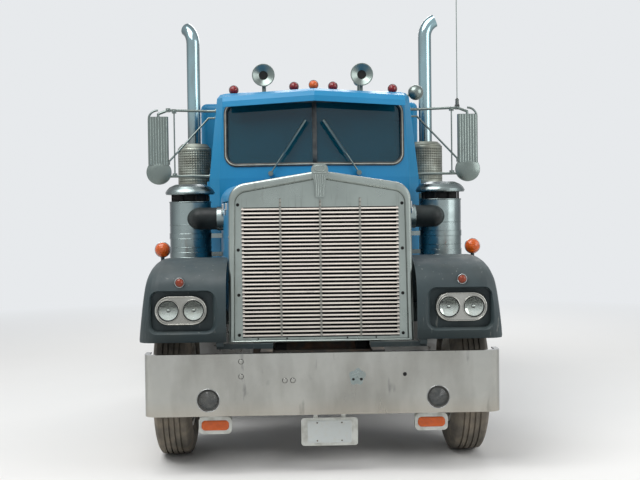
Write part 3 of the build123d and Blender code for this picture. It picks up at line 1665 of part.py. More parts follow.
# Stacks above the mufflers and the pipe run below them
with BuildPart() as exhaust_pipes:
    for side, heading, stack_top in (
        (1, stack_heading_left, stack_top_left),
        (-1, stack_heading_right, stack_top_right),
    ):
        foot = Vector(side * muffler_x, at(muffler_d), muffler_top + seat_gap)
        out = Vector(side * cos(radians(heading)), sin(radians(heading)), 0)
        stack_plane = Plane(origin=foot, x_dir=out, z_dir=out.cross(Vector(0, 0, 1)))
        straight = stack_top - stack_bend * sin(radians(stack_turn)) - 60 - muffler_top
        for radius, mode in ((stack_radius, Mode.ADD), (stack_radius - 3, Mode.SUBTRACT)):
            start = 0 if mode == Mode.ADD else straight * 0.6
            with BuildLine(stack_plane) as stack_path:
                rise = Line((0, start), (0, straight))
                JernArc(rise @ 1, (0, 1), stack_bend, -stack_turn)
            with BuildSketch(Plane(origin=foot + Vector(0, 0, start), z_dir=(0, 0, 1))):
                Circle(radius)
            sweep(path=stack_path.wires()[0], mode=mode)
    for side in (-1, 1):
        with Locations((side * muffler_x, at(muffler_d), (muffler_low + cross_pipe_z) / 2)):
            Cylinder(stack_radius, muffler_low - cross_pipe_z - 2 * seat_gap)
        with Locations((side * muffler_x, at(muffler_d), cross_pipe_z)):
            Sphere(stack_radius + 3)
    with Locations((0, at(muffler_d), cross_pipe_z)):
        Cylinder(stack_radius, 2 * muffler_x, rotation=(0, 90, 0))
    with Locations((forward_pipe_x, at((muffler_d + engine_back_d) / 2), cross_pipe_z)):
        Cylinder(stack_radius - 5, muffler_d - engine_back_d - 2 * seat_gap, rotation=(90, 0, 0))
finish(exhaust_pipes, "exhaust_pipes")

# Fuel tanks with straps and steps
with BuildPart() as fuel_tanks:
    with Locations((tank_x, at(tank_front_d + tank_length / 2), tank_z)):
        Cylinder(tank_radius, tank_length, rotation=(90, 0, 0))
    for d in tank_strap_ds:
        with Locations((tank_x, at(d + strap_width / 2), tank_z)):
            Cylinder(tank_radius + strap_wall, strap_width, rotation=(90, 0, 0))
    with Locations((tank_x + 60, at(tank_front_d + 400), tank_z + tank_radius)):
        Cylinder(55, 60)
    for x, z in tank_steps:
        box_between((x, tank_front_d + 60, z), (x + 150, tank_front_d + 560, z + 26))
        box_between((x - 60, tank_front_d + 90, z + 4), (x + 10, tank_front_d + 130, z + 22))
        box_between((x - 60, tank_front_d + 490, z + 4), (x + 10, tank_front_d + 530, z + 22))
    mirror(about=Plane.YZ)
finish(fuel_tanks, "fuel_tanks")

# Step boxes below the doors
with BuildPart() as step_boxes:
    box_back_d = box_front_d + box_length
    tread_z = box_low + box_step_height
    box_between((box_inner_x, box_front_d, tread_z), (box_outer_x - 190, box_back_d, box_high))
    box_between((box_inner_x, box_front_d, box_low), (box_outer_x, box_back_d, tread_z + 1))
    # Notches for the arms that carry them
    for d in box_arm_ds:
        cut_between(
            (box_inner_x - 5, d - seat_gap, box_low + 250 - seat_gap),
            (box_inner_x + 10 + seat_gap, d + 70 + seat_gap, box_low + 330 + seat_gap),
        )
    mirror(about=Plane.YZ)
finish(step_boxes, "step_boxes")

# Fifth wheel: pillow blocks on the frame and the tilting plate
with BuildPart() as fifth_wheel_base:
    for side in (-1, 1):
        near, far = sorted((side * (block_x - 35), side * (block_x + 35)))
        with BuildSketch(Plane.YZ.offset(near)):
            side_face([
                (coupling_d - 200, rail_top + seat_gap),
                (coupling_d + 200, rail_top + seat_gap),
                (coupling_d + 200, rail_top + 22),
                (coupling_d + 62, coupling_pivot_z + 34),
                (coupling_d - 62, coupling_pivot_z + 34),
                (coupling_d - 200, rail_top + 22),
            ])
        extrude(amount=70)
        with Locations((side * block_x, at(coupling_d), coupling_pivot_z)):
            Cylinder(22, 2 * 35 + 56, rotation=(0, 90, 0))
finish(fifth_wheel_base, "fifth_wheel_base")

with BuildPart() as fifth_wheel_plate:
    with BuildSketch(Plane.XY.offset(coupling_top - 46)):
        with Locations((0, at(coupling_d))):
            Circle(470)
        with Locations((0, at(coupling_d) + 265)):
            Rectangle(800, 530)
        with Locations((0, at(coupling_d))):
            Circle(jaw_radius, mode=Mode.SUBTRACT)
        Polygon(
            (-jaw_radius, at(coupling_d)),
            (jaw_radius, at(coupling_d)),
            (jaw_radius, at(coupling_d) + 120),
            (150, at(coupling_d) + 560),
            (-150, at(coupling_d) + 560),
            (-jaw_radius, at(coupling_d) + 120),
            align=None,
            mode=Mode.SUBTRACT,
        )
    extrude(amount=46)
    for side in (-1, 1):
        for x in (block_x - 35 - lug_gap - 28, block_x + 35 + lug_gap):
            near, far = sorted((side * x, side * (x + 28)))
            with BuildSketch(Plane.YZ.offset(near)):
                side_face([
                    (coupling_d - 45, coupling_pivot_z - 40),
                    (coupling_d + 45, coupling_pivot_z - 40),
                    (coupling_d + 70, coupling_top - 45),
                    (coupling_d - 70, coupling_top - 45),
                ])
            extrude(amount=28)
        with Locations((side * block_x, at(coupling_d), coupling_pivot_z)):
            Cylinder(22 + pin_gap, 200, rotation=(0, 90, 0), mode=Mode.SUBTRACT)
finish(fifth_wheel_plate, "fifth_wheel_plate")

# Mud flaps on their hanger bars
with BuildPart() as mud_flaps:
    box_between((620, flap_d, 240), (1210, flap_d + 8, 990))
    box_between((rail_outer_x + seat_gap, flap_d - 25, 950), (1210, flap_d + 0.5, 990))
    box_between((rail_outer_x + seat_gap, rail_end_d - 120, 950), (rail_outer_x + 40, flap_d, 990))
    mirror(about=Plane.YZ)
finish(mud_flaps, "mud_flaps")
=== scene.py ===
"""Finishes, trim, treads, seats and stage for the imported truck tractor.

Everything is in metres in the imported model's frame: the truck faces -Y and its left side is +X.
"""

from math import cos, pi, radians, sin

import bmesh
import bpy
from bpy.props import FloatProperty, FloatVectorProperty, IntProperty, PointerProperty
from mathutils import Euler, Matrix, Vector, noise


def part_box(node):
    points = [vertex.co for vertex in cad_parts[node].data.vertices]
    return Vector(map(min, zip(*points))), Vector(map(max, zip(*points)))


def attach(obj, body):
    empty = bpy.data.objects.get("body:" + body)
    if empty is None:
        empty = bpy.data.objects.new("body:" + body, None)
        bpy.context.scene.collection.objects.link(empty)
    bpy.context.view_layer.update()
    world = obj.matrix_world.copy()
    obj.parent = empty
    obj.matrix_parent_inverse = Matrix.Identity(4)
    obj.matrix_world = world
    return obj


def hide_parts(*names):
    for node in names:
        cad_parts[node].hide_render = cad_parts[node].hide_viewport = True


bl_info = {
    "name": "Truck Tractor Looks",
    "version": (1, 0, 0),
    "blender": (4, 5, 0),
    "location": "3D Viewport > Sidebar > Truck",
    "description": "Finishes, trim, treads, seats and stage for a packed truck tractor",
    "category": "Object",
}

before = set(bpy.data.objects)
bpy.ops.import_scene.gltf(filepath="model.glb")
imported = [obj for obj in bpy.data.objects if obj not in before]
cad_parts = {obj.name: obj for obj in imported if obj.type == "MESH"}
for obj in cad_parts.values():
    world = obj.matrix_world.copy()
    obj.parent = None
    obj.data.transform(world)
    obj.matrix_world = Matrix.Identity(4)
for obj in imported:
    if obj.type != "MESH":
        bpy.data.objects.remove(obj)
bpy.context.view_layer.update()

# Sides, directions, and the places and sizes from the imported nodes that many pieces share
SIDES = (("left", 1), ("right", -1))
FORWARD, REARWARD, UP = Vector((0, -1, 0)), Vector((0, 1, 0)), Vector((0, 0, 1))
FRONT_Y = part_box("front_bumper")[0].y
TYRE_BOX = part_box("tyre_front_left")
WHEEL_RADIUS = (TYRE_BOX[1].z - TYRE_BOX[0].z) / 2
AXLE_Z = (TYRE_BOX[1].z + TYRE_BOX[0].z) / 2
TYRE_WIDTH = TYRE_BOX[1].x - TYRE_BOX[0].x
FULL_TURN = 2 * pi


def back(distance):
    """Y of a place that lies this far behind the foremost point."""
    return FRONT_Y + distance


def at(x, distance, z):
    """Place beside the middle, behind the foremost point and above the ground."""
    return Vector((x, back(distance), z))


def srgb(red, green, blue):
    """A colour given as screen values from 0 to 255, as the linear values that shaders use."""
    shares = [value / 255 for value in (red, green, blue)]
    return tuple(s / 12.92 if s <= 0.04045 else ((s + 0.055) / 1.055) ** 2.4 for s in shares)


def scaled(colour, factor):
    return tuple(min(1.0, part * factor) for part in colour)


# Settings that a user would change
def colour_property(name, description, default):
    return FloatVectorProperty(
        name=name, description=description, default=default, subtype="COLOR", min=0.0, max=1.0
    )


def length_property(name, description, default):
    return FloatProperty(name=name, description=description, default=default, min=0.0, unit="LENGTH")


class FinishSettings(bpy.types.PropertyGroup):
    """Colours and wear of the truck's finishes"""

    cab_colour: colour_property("Cab paint", "Paint of the cab, sleeper and hood", srgb(30, 124, 168))
    fender_colour: colour_property("Fender paint", "Faded paint of the fenders", srgb(43, 57, 60))
    steel_colour: colour_property("Shell steel", "Dull steel of the radiator shell", srgb(162, 171, 166))
    bar_colour: colour_property("Bars", "Bright grille bars", srgb(250, 241, 230))
    dust_colour: colour_property("Dust", "Road dust that lies on the truck", srgb(178, 166, 148))
    amber_colour: colour_property("Amber lens", "Amber lamp lenses", srgb(226, 98, 4))
    red_colour: colour_property("Red lens", "Red lamp lenses", srgb(140, 0, 10))
    glass_colour: colour_property("Window glass", "Tint of the cab's glass", srgb(10, 92, 112))
    dust: FloatProperty(name="Dust", description="How much dust lies on the truck", default=0.5,
                        min=0.0, max=1.0, subtype="FACTOR")


class TyreSettings(bpy.types.PropertyGroup):
    """Treads of the tyres"""

    groove_depth: length_property("Groove depth", "Depth of the tread's grooves", 0.012)
    groove_width: length_property("Groove width", "Width of the grooves round the tyre", 0.011)
    lug_count: IntProperty(name="Lugs", description="Tread blocks round a drive tyre", default=44, min=12)
    steps: IntProperty(name="Steps", description="Faces round a steered tyre", default=120, min=24)


class TrimSettings(bpy.types.PropertyGroup):
    """Small fittings on the body"""

    rivet_radius: length_property("Rivet radius", "Radius of a rivet head", 0.0055)
    rivet_pitch: length_property("Rivet pitch", "Distance from rivet to rivet", 0.075)
    bolt_radius: length_property("Bolt radius", "Half the width of a common bolt head", 0.011)
    seal_width: length_property("Seal width", "Width of the windshield's rubber seal", 0.032)
    hole_pitch: length_property("Hole pitch", "Distance between the holes in the muffler guards", 0.024)


class StageSettings(bpy.types.PropertyGroup):
    """Camera and light"""

    camera_x: length_property("Camera side", "How far the camera stands to the truck's right", 0.23)
    camera_distance: length_property("Camera distance", "From the camera to the bumper's face", 7.40)
    camera_height: length_property("Camera height", "Height of the camera above the floor", 1.80)
    lens: FloatProperty(name="Lens", description="Focal length for a 36 mm sensor, in mm", default=61.1)
    yaw: FloatProperty(name="Yaw", description="Turn towards the truck's left side", subtype="ANGLE",
                       unit="ROTATION", default=radians(1.69))
    pitch: FloatProperty(name="Pitch", description="Tilt towards the floor", subtype="ANGLE",
                         unit="ROTATION", default=radians(1.53))
    roll: FloatProperty(name="Roll", description="Turn about the line of sight", subtype="ANGLE",
                        unit="ROTATION", default=radians(0.7))
    floor_colour: colour_property("Floor", "Colour of the floor", (0.78, 0.77, 0.75))
    key_power: FloatProperty(name="Key lamp", description="Power of the large lamp above", default=850.0,
                             min=0.0, unit="POWER")


# Shapes
def basis(axis):
    """Two directions square to the axis, and the axis itself."""
    turn = Vector(axis).normalized().to_track_quat("Z", "Y").to_matrix()
    return turn.col[0], turn.col[1], turn.col[2]


def circle(radius, steps, shift=0.0):
    """Evenly spaced (across, up) points of a circle, moved on by a share of a step."""
    angles = [FULL_TURN * (i + shift) / steps for i in range(steps)]
    return [(radius * cos(angle), radius * sin(angle)) for angle in angles]


def ring(centre, axis, radius, steps):
    """Points of a circle round an axis."""
    across, up, _ = basis(axis)
    return [Vector(centre) + u * across + v * up for u, v in circle(radius, steps)]


def rounded_loop(half_width, half_height, radius, corner_steps=8):
    """Rectangle with round corners as (across, up) points, counter-clockwise."""
    points = []
    corners = ((1, -1, -90), (1, 1, 0), (-1, 1, 90), (-1, -1, 180))
    for side, level, start in corners:
        centre_x = side * (half_width - radius)
        centre_z = level * (half_height - radius)
        for i in range(corner_steps + 1):
            angle = radians(start + 90 * i / corner_steps)
            points.append((centre_x + radius * cos(angle), centre_z + radius * sin(angle)))
    return points


class Form:
    """Points and faces of one piece, gathered before its mesh is made"""

    def __init__(self):
        self.points = []
        self.faces = []

    def skin(self, rows, close_rows=False, close_points=True):
        """Join each row of points to the next."""
        first = len(self.points)
        count = len(rows[0])
        for row in rows:
            self.points.extend(Vector(point) for point in row)
        row_steps = len(rows) if close_rows else len(rows) - 1
        point_steps = count if close_points else count - 1
        for r in range(row_steps):
            near = first + r * count
            far = first + (r + 1) % len(rows) * count
            for i in range(point_steps):
                j = (i + 1) % count
                self.faces.append((near + i, near + j, far + j, far + i))
        return self

    def face(self, loop):
        """One flat face."""
        first = len(self.points)
        self.points.extend(Vector(point) for point in loop)
        self.faces.append(tuple(range(first, len(self.points))))
        return self

    def lathe(self, profile, centre, axis, steps=32, closed=False):
        """Turn a profile of (along, radius) points about an axis."""
        along = Vector(axis).normalized()
        rows = [ring(Vector(centre) + along * a, axis, r, steps) for a, r in profile]
        return self.skin(rows, close_rows=closed)

    def box(self, low, high):
        xs, ys, zs = zip(low, high)
        rows = [[(x, y, z) for x, y in ((xs[0], ys[0]), (xs[1], ys[0]), (xs[1], ys[1]), (xs[0], ys[1]))]
                for z in zs]
        self.skin(rows)
        self.face(rows[0][::-1])
        return self.face(rows[1])

    def block(self, centre, size):
        low = [c - s / 2 for c, s in zip(centre, size)]
        high = [c + s / 2 for c, s in zip(centre, size)]
        return self.box(low, high)

    def tube(self, path, radius, steps=12, closed=False):
        """Round bar along a path of points."""
        path = [Vector(point) for point in path]
        count = len(path)
        rows = []
        across = None
        for i, point in enumerate(path):
            before = path[i - 1] if i or closed else path[0]
            after = path[(i + 1) % count] if i < count - 1 or closed else path[-1]
            along = (after - before).normalized()
            if across is None:
                across = basis(along)[0]
            across = (across - along * across.dot(along)).normalized()
            up = along.cross(across)
            rows.append([point + u * across + v * up for u, v in circle(radius, steps)])
        self.skin(rows, close_rows=closed)
        if not closed:
            self.face(rows[0][::-1])
            self.face(rows[-1])
        return self

    def bolt(self, centre, axis, radius, height):
        """Hexagon head on a round washer."""
        washer = 0.15 * height
        self.lathe([(0, 1.4 * radius), (washer, 1.4 * radius), (washer, 0)], centre, axis, 16)
        head = [(washer, radius), (0.8 * height, radius), (height, 0.8 * radius), (height, 0)]
        return self.lathe(head, centre, axis, 6)

    def dome(self, centre, axis, radius, height, steps=12, rings=3):
        """Round head, such as a rivet's."""
        angles = [pi / 2 * i / rings for i in range(rings + 1)]
        return self.lathe([(height * sin(a), radius * cos(a)) for a in angles], centre, axis, steps)

    def dish(self, centre, axis, radius, depth, rings, steps):
        """Shallow round dish, furthest along the axis in its middle."""
        shares = [i / rings for i in range(rings + 1)]
        profile = [(depth * (1 - share ** 2), radius * share) for share in shares]
        return self.lathe(profile, centre, axis, steps)

    def hoop(self, centre, axis, radius, thickness, steps=48, sides=10):
        """Round bar bent to a ring."""
        profile = [(v, radius + u) for u, v in circle(thickness, sides)]
        return self.lathe(profile, centre, axis, steps, closed=True)


def make_piece(form, name, finish, sharp=35, body="chassis", bevel=0.0):
    """Mesh object from a form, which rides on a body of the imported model."""
    old = bpy.data.objects.get(name)
    if old:
        bpy.data.objects.remove(old)
    mesh = bpy.data.meshes.new(name)
    mesh.from_pydata(form.points, [], form.faces)
    shaper = bmesh.new()
    shaper.from_mesh(mesh)
    bmesh.ops.remove_doubles(shaper, verts=shaper.verts, dist=1e-5)
    bmesh.ops.recalc_face_normals(shaper, faces=shaper.faces)
    shaper.to_mesh(mesh)
    shaper.free()
    mesh.shade_smooth()
    mesh.set_sharp_from_angle(angle=radians(sharp))
    mesh.materials.append(bpy.data.materials[finish])
    piece = bpy.data.objects.new(name, mesh)
    bpy.context.scene.collection.objects.link(piece)
    if bevel:
        rounder = piece.modifiers.new("rounded edges", "BEVEL")
        rounder.width = bevel
        rounder.segments = 2
        rounder.limit_method = "ANGLE"
    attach(piece, body)
    return piece


def thicken(piece, thickness, offset=-1.0):
    modifier = piece.modifiers.new("thickness", "SOLIDIFY")
    modifier.thickness = thickness
    modifier.offset = offset


# Finishes
class Mixer:
    """A Principled material and the texture nodes that vary it"""

    def __init__(self, name, colour, rough=0.5, metal=0.0, steady=()):
        self.material = bpy.data.materials.get(name) or bpy.data.materials.new(name)
        self.material.use_nodes = True
        self.tree = self.material.node_tree
        self.tree.nodes.clear()
        self.shader = self.tree.nodes.new("ShaderNodeBsdfPrincipled")
        output = self.tree.nodes.new("ShaderNodeOutputMaterial")
        self.tree.links.new(self.shader.outputs["BSDF"], output.inputs["Surface"])
        self.feed(self.shader.inputs["Base Color"], colour)
        self.feed(self.shader.inputs["Roughness"], rough)
        self.feed(self.shader.inputs["Metallic"], metal)
        for socket, value in dict(steady).items():
            self.feed(self.shader.inputs[socket], value)
        self.place = self.node("TexCoord").outputs["Object"]
        self.colour = colour
        self.normal = None

    def node(self, kind, inputs=(), **settings):
        made = self.tree.nodes.new("ShaderNode" + kind)
        for name, value in settings.items():
            setattr(made, name, value)
        for name, value in dict(inputs).items():
            self.feed(made.inputs[name], value)
        return made

    def feed(self, socket, value):
        if isinstance(value, bpy.types.NodeSocket):
            self.tree.links.new(value, socket)
        elif socket.type == "RGBA":
            socket.default_value = (*value[:3], 1.0)
        else:
            socket.default_value = value

    def stretched(self, scale):
        return self.node("Mapping", {"Vector": self.place, "Scale": scale}).outputs["Vector"]

    def noise(self, scale, detail=4.0, stretch=None):
        place = self.stretched(stretch) if stretch else self.place
        return self.node("TexNoise", {"Vector": place, "Scale": scale, "Detail": detail}).outputs[0]

    def cells(self, scale):
        return self.node("TexVoronoi", {"Vector": self.place, "Scale": scale}).outputs[0]

    def waves(self, scale, direction):
        inputs = {"Vector": self.place, "Scale": scale}
        return self.node("TexWave", inputs, bands_direction=direction).outputs["Fac"]

    def level(self, value, low, high, to_low=0.0, to_high=1.0):
        inputs = {"Value": value, "From Min": low, "From Max": high, "To Min": to_low, "To Max": to_high}
        return self.node("MapRange", inputs).outputs["Result"]

    def maths(self, operation, first, second):
        made = self.node("Math", operation=operation)
        self.feed(made.inputs[0], first)
        self.feed(made.inputs[1], second)
        return made.outputs[0]

    def product(self, first, second):
        return self.maths("MULTIPLY", first, second)

    def part_of(self, vector, name):
        return self.node("SeparateXYZ", {"Vector": vector}).outputs[name]

    def upward(self, low=0.3, high=1.0):
        """How much a face looks up, from 0 to 1."""
        normal = self.node("NewGeometry").outputs["Normal"]
        return self.level(self.part_of(normal, "Z"), low, high)

    def below(self, height, reach):
        """1 under a height and 0 above the reach over it."""
        return self.level(self.part_of(self.place, "Z"), height, height + reach, 1.0, 0.0)

    def tint(self, share, colour):
        """Lay another colour over what is there."""
        mixed = self.node("Mix", data_type="RGBA")
        self.feed(mixed.inputs[0], share)
        self.feed(mixed.inputs[6], self.colour)
        self.feed(mixed.inputs[7], colour)
        self.colour = mixed.outputs[2]
        self.feed(self.shader.inputs["Base Color"], self.colour)
        return self

    def patches(self, scale, detail, low, high, share, colour, stretch=None):
        """Lay another colour over patches of noise."""
        return self.tint(self.level(self.noise(scale, detail, stretch), low, high, 0.0, share), colour)

    def edges(self, low, high, share, colour):
        """Lay a painted reflection over faces that turn from the eye: a darker tint that stands for the dark
        surroundings which the studio lacks.
        """
        facing = self.node("LayerWeight", {"Blend": 0.5}).outputs["Facing"]
        return self.tint(self.product(self.level(facing, low, high), share), colour)

    def roughness(self, scale, low, high, detail=4.0, stretch=None):
        share = self.noise(scale, detail, stretch)
        self.feed(self.shader.inputs["Roughness"], self.level(share, 0.25, 0.75, low, high))
        return self

    def relief(self, height, distance, strength=1.0):
        """Lay a bump over what is there."""
        inputs = {"Height": height, "Distance": distance, "Strength": strength}
        if self.normal:
            inputs["Normal"] = self.normal
        self.normal = self.node("Bump", inputs).outputs["Normal"]
        self.feed(self.shader.inputs["Normal"], self.normal)
        return self

    def grain(self, scale, detail, distance, strength=1.0, stretch=None):
        return self.relief(self.noise(scale, detail, stretch), distance, strength)

    def dust(self, settings, most=0.6, low_height=0.3, reach=1.6):
        """Dust on faces that look up and towards the ground."""
        patches = self.level(self.noise(3.5, 6.0), 0.35, 0.75)
        lying = self.product(self.product(self.upward(), patches), most * settings.dust)
        rising = self.product(self.product(self.below(low_height, reach), patches), most * settings.dust)
        self.tint(lying, settings.dust_colour)
        return self.tint(rising, settings.dust_colour)


def mix_paints(settings):
    cab_sockets = {"Coat Weight": 0.1, "Coat Roughness": 0.3, "Specular IOR Level": 0.25}
    cab = Mixer("cab_paint", settings.cab_colour, rough=0.3, steady=cab_sockets)
    cab.patches(1.7, 5.0, 0.42, 0.7, 0.3, scaled(settings.cab_colour, 1.25))
    cab.patches(28, 6.0, 0.62, 0.75, 0.18, scaled(settings.cab_colour, 0.45), (1, 1, 0.12))
    cab.roughness(6, 0.3, 0.5)
    cab.grain(260, 2.0, 0.0002)
    cab.dust(settings, 0.16, 1.0, 0.5)

    fender = Mixer("fender_paint", settings.fender_colour, rough=0.6)
    # Faces that look up are paler: partly chalked paint and partly painted light from above
    chalk_and_painted_light = scaled(settings.fender_colour, 1.35)
    fender.tint(fender.product(fender.upward(0.1, 0.8), 0.16), chalk_and_painted_light)
    fender.patches(5, 7.0, 0.45, 0.7, 0.45, scaled(settings.fender_colour, 0.55))
    fender.patches(40, 5.0, 0.66, 0.72, 0.4, srgb(150, 152, 146), (1, 1, 0.2))
    fender.roughness(8, 0.45, 0.7)
    fender.grain(180, 3.0, 0.0003)
    fender.dust(settings, 0.12, 0.8, 0.35)

    dark = Mixer("frame_paint", srgb(34, 34, 35), rough=0.65)
    dark.patches(9, 8.0, 0.5, 0.68, 0.6, srgb(92, 70, 54))
    dark.roughness(14, 0.5, 0.85)
    dark.grain(60, 6.0, 0.0012)
    dark.dust(settings, 0.7, 0.3, 0.9)

    wheel = Mixer("wheel_paint", srgb(206, 204, 196), rough=0.45)
    wheel.patches(7, 8.0, 0.42, 0.66, 0.7, srgb(118, 104, 88))
    wheel.tint(wheel.level(wheel.cells(26), 0.0, 0.12, 0.5, 0.0), srgb(96, 58, 38))
    wheel.grain(90, 5.0, 0.0006)

    holder = Mixer("holder_paint", srgb(196, 198, 192), rough=0.42, metal=0.35)
    holder.patches(18, 7.0, 0.45, 0.68, 0.55, srgb(132, 130, 120))
    holder.roughness(30, 0.3, 0.6)
    holder.grain(120, 4.0, 0.0004)

    blank = Mixer("blank_plate", srgb(190, 195, 193), rough=0.35)
    blank.patches(34, 6.0, 0.5, 0.72, 0.35, srgb(186, 184, 172))
    blank.grain(300, 2.0, 0.0002)


def mix_bright_metals(settings):
    bumper = Mixer("bumper_chrome", srgb(180, 180, 174), rough=0.16, metal=1.0)
    bumper.patches(4, 7.0, 0.42, 0.66, 0.7, srgb(142, 141, 134), (1, 1, 0.35))
    stains = bumper.level(bumper.noise(13, 6.0, (1, 1, 0.3)), 0.64, 0.74)
    bumper.tint(bumper.product(stains, 0.55), srgb(84, 88, 88))
    # Painted reflection: faces that turn from the eye are darker
    bumper.edges(0.35, 0.85, 0.6, srgb(56, 60, 60))
    bumper.roughness(4, 0.1, 0.3, 7.0, (1, 1, 0.35))
    bumper.grain(3.5, 2.0, 0.006, 0.6)
    bumper.grain(240, 4.0, 0.0002, 1.0, (1, 1, 3))
    bumper.tint(bumper.product(bumper.below(0.42, 0.1), 0.3), settings.dust_colour)

    bright = Mixer("bright_chrome", srgb(172, 174, 173), rough=0.1, metal=1.0)
    bright.patches(24, 6.0, 0.5, 0.75, 0.4, srgb(140, 138, 130))
    # Painted reflection: faces that turn from the eye are darker
    bright.edges(0.35, 0.85, 0.7, srgb(48, 54, 56))
    bright.roughness(12, 0.06, 0.24)
    bright.grain(40, 3.0, 0.0005, 0.5)

    satin = Mixer("satin_chrome", srgb(122, 132, 128), rough=0.26, metal=1.0)
    satin.patches(9, 6.0, 0.5, 0.75, 0.35, srgb(104, 108, 104))
    # Painted reflection: faces that turn from the eye are darker
    satin.edges(0.35, 0.85, 0.6, srgb(52, 60, 58))
    satin.roughness(18, 0.24, 0.42)
    satin.grain(60, 3.0, 0.0004, 0.5)

    shell = Mixer("shell_steel", settings.steel_colour, rough=0.3, metal=1.0)
    shell.patches(3, 6.0, 0.42, 0.7, 0.6, scaled(settings.steel_colour, 0.68))
    shell.patches(12, 5.0, 0.6, 0.72, 0.3, srgb(104, 104, 92), (3, 3, 0.25))
    # Painted reflection: faces that turn from the eye are darker
    shell.edges(0.2, 0.7, 0.75, srgb(60, 66, 62))
    shell.roughness(7, 0.22, 0.42, 5.0)
    shell.grain(2.2, 2.0, 0.004, 0.5)
    shell.grain(300, 3.0, 0.0002, 1.0, (1, 1, 0.08))

    bars = Mixer("bar_alloy", settings.bar_colour, rough=0.34, metal=0.3)
    bars.patches(20, 5.0, 0.5, 0.72, 0.3, scaled(settings.bar_colour, 0.6), (0.2, 1, 1))
    # Painted shade darkens the slats' faces that look up and down, and the rods in front of them are of
    # darker steel
    bars.tint(bars.upward(0.2, 0.8), srgb(18, 16, 14))
    bars.tint(bars.upward(-0.2, -0.8), srgb(14, 12, 10))
    # The imported slats are a little too high, so painted shade darkens the lower edge of each to look
    # thinner
    grille_low, grille_high, slat_count = 0.905, 1.83, 33
    height = bars.maths("SUBTRACT", bars.part_of(bars.place, "Z"), grille_low)
    pitches = bars.maths("DIVIDE", height, (grille_high - grille_low) / slat_count)
    bars.tint(bars.level(bars.maths("FRACT", pitches, 0.0), 0.37, 0.34), srgb(24, 21, 19))
    rod_back = back(0.3008)
    in_front = bars.level(bars.part_of(bars.place, "Y"), rod_back, rod_back + 0.0004, 0.85, 0.0)
    bars.tint(in_front, srgb(128, 130, 124))
    bars.roughness(15, 0.25, 0.48, 4.0, (0.2, 1, 1))
    bars.grain(500, 2.0, 0.0001, 1.0, (0.05, 1, 1))

    steel = Mixer("cleaner_steel", srgb(152, 165, 164), rough=0.24, metal=1.0)
    steel.patches(5, 6.0, 0.44, 0.7, 0.6, srgb(112, 116, 114), (1, 1, 0.5))
    # Painted reflection: faces that turn from the eye are darker
    steel.edges(0.1, 0.6, 0.8, srgb(38, 52, 58))
    steel.roughness(9, 0.16, 0.4)
    steel.grain(6, 2.0, 0.003, 0.6)
    steel.dust(settings, 0.35, 1.2, 0.3)

    alloy = Mixer("tank_alloy", srgb(190, 192, 192), rough=0.3, metal=1.0)
    alloy.patches(4, 7.0, 0.44, 0.7, 0.5, srgb(128, 126, 120))
    alloy.roughness(10, 0.2, 0.48, 5.0)
    alloy.grain(400, 3.0, 0.0001, 1.0, (1, 0.05, 1))
    alloy.dust(settings, 0.7, 0.35, 0.7)

    stack = Mixer("stack_chrome", srgb(150, 178, 184), rough=0.12, metal=1.0)
    stack.patches(7, 6.0, 0.48, 0.72, 0.5, srgb(132, 130, 126), (1, 1, 0.3))
    stack.tint(stack.product(stack.below(2.35, 0.5), 0.55), srgb(112, 96, 82))
    # Painted reflection: faces that turn from the eye are darker
    stack.edges(0.2, 0.7, 0.8, srgb(40, 54, 60))
    stack.roughness(11, 0.08, 0.26)
    stack.grain(30, 3.0, 0.0004, 0.5)

    guard = Mixer("guard_steel", srgb(156, 162, 152), rough=0.42, metal=0.8)
    guard.patches(6, 7.0, 0.4, 0.64, 0.7, srgb(98, 98, 88))
    guard.patches(22, 6.0, 0.6, 0.72, 0.35, srgb(92, 74, 58), (1, 1, 0.4))
    # Painted reflection: faces that turn from the eye are darker
    guard.edges(0.3, 0.8, 0.6, srgb(56, 58, 52))
    guard.roughness(16, 0.32, 0.62)
    guard.grain(120, 5.0, 0.0005)

    mirror = Mixer("mirror_glass", srgb(152, 160, 164), rough=0.03, metal=1.0)
    mirror.patches(30, 6.0, 0.55, 0.8, 0.3, srgb(150, 146, 134))
    mirror.roughness(40, 0.02, 0.1)


def mix_dark_metals(settings):
    iron = Mixer("cast_iron", srgb(62, 58, 54), rough=0.75, metal=0.3)
    iron.patches(11, 8.0, 0.42, 0.66, 0.75, srgb(96, 66, 46))
    iron.roughness(25, 0.6, 0.9)
    iron.grain(110, 6.0, 0.001)
    iron.dust(settings, 0.8, 0.3, 0.6)

    greasy = Mixer("greasy_iron", srgb(46, 43, 40), rough=0.4, metal=0.5)
    greasy.patches(6, 7.0, 0.45, 0.62, 0.8, srgb(116, 110, 102))
    greasy.patches(16, 8.0, 0.52, 0.62, 0.7, srgb(24, 22, 20))
    greasy.roughness(9, 0.18, 0.6)
    greasy.grain(30, 6.0, 0.0012)

    fins = Mixer("radiator_fins", srgb(14, 14, 14), rough=0.8)
    fins.tint(fins.level(fins.waves(60, "X"), 0.3, 0.9, 0.0, 0.5), srgb(34, 33, 31))
    fins.relief(fins.waves(60, "X"), 0.004)
    fins.patches(8, 6.0, 0.5, 0.7, 0.5, srgb(40, 35, 29))

    # Black for painted shade in holes, throats and behind the slats, and the black of the shell's screws
    black_and_painted_shade = Mixer("black_and_painted_shade", srgb(12, 12, 12), rough=0.9)
    black_and_painted_shade.patches(20, 6.0, 0.5, 0.7, 0.5, srgb(34, 31, 28))
    black_and_painted_shade.grain(90, 4.0, 0.0008)


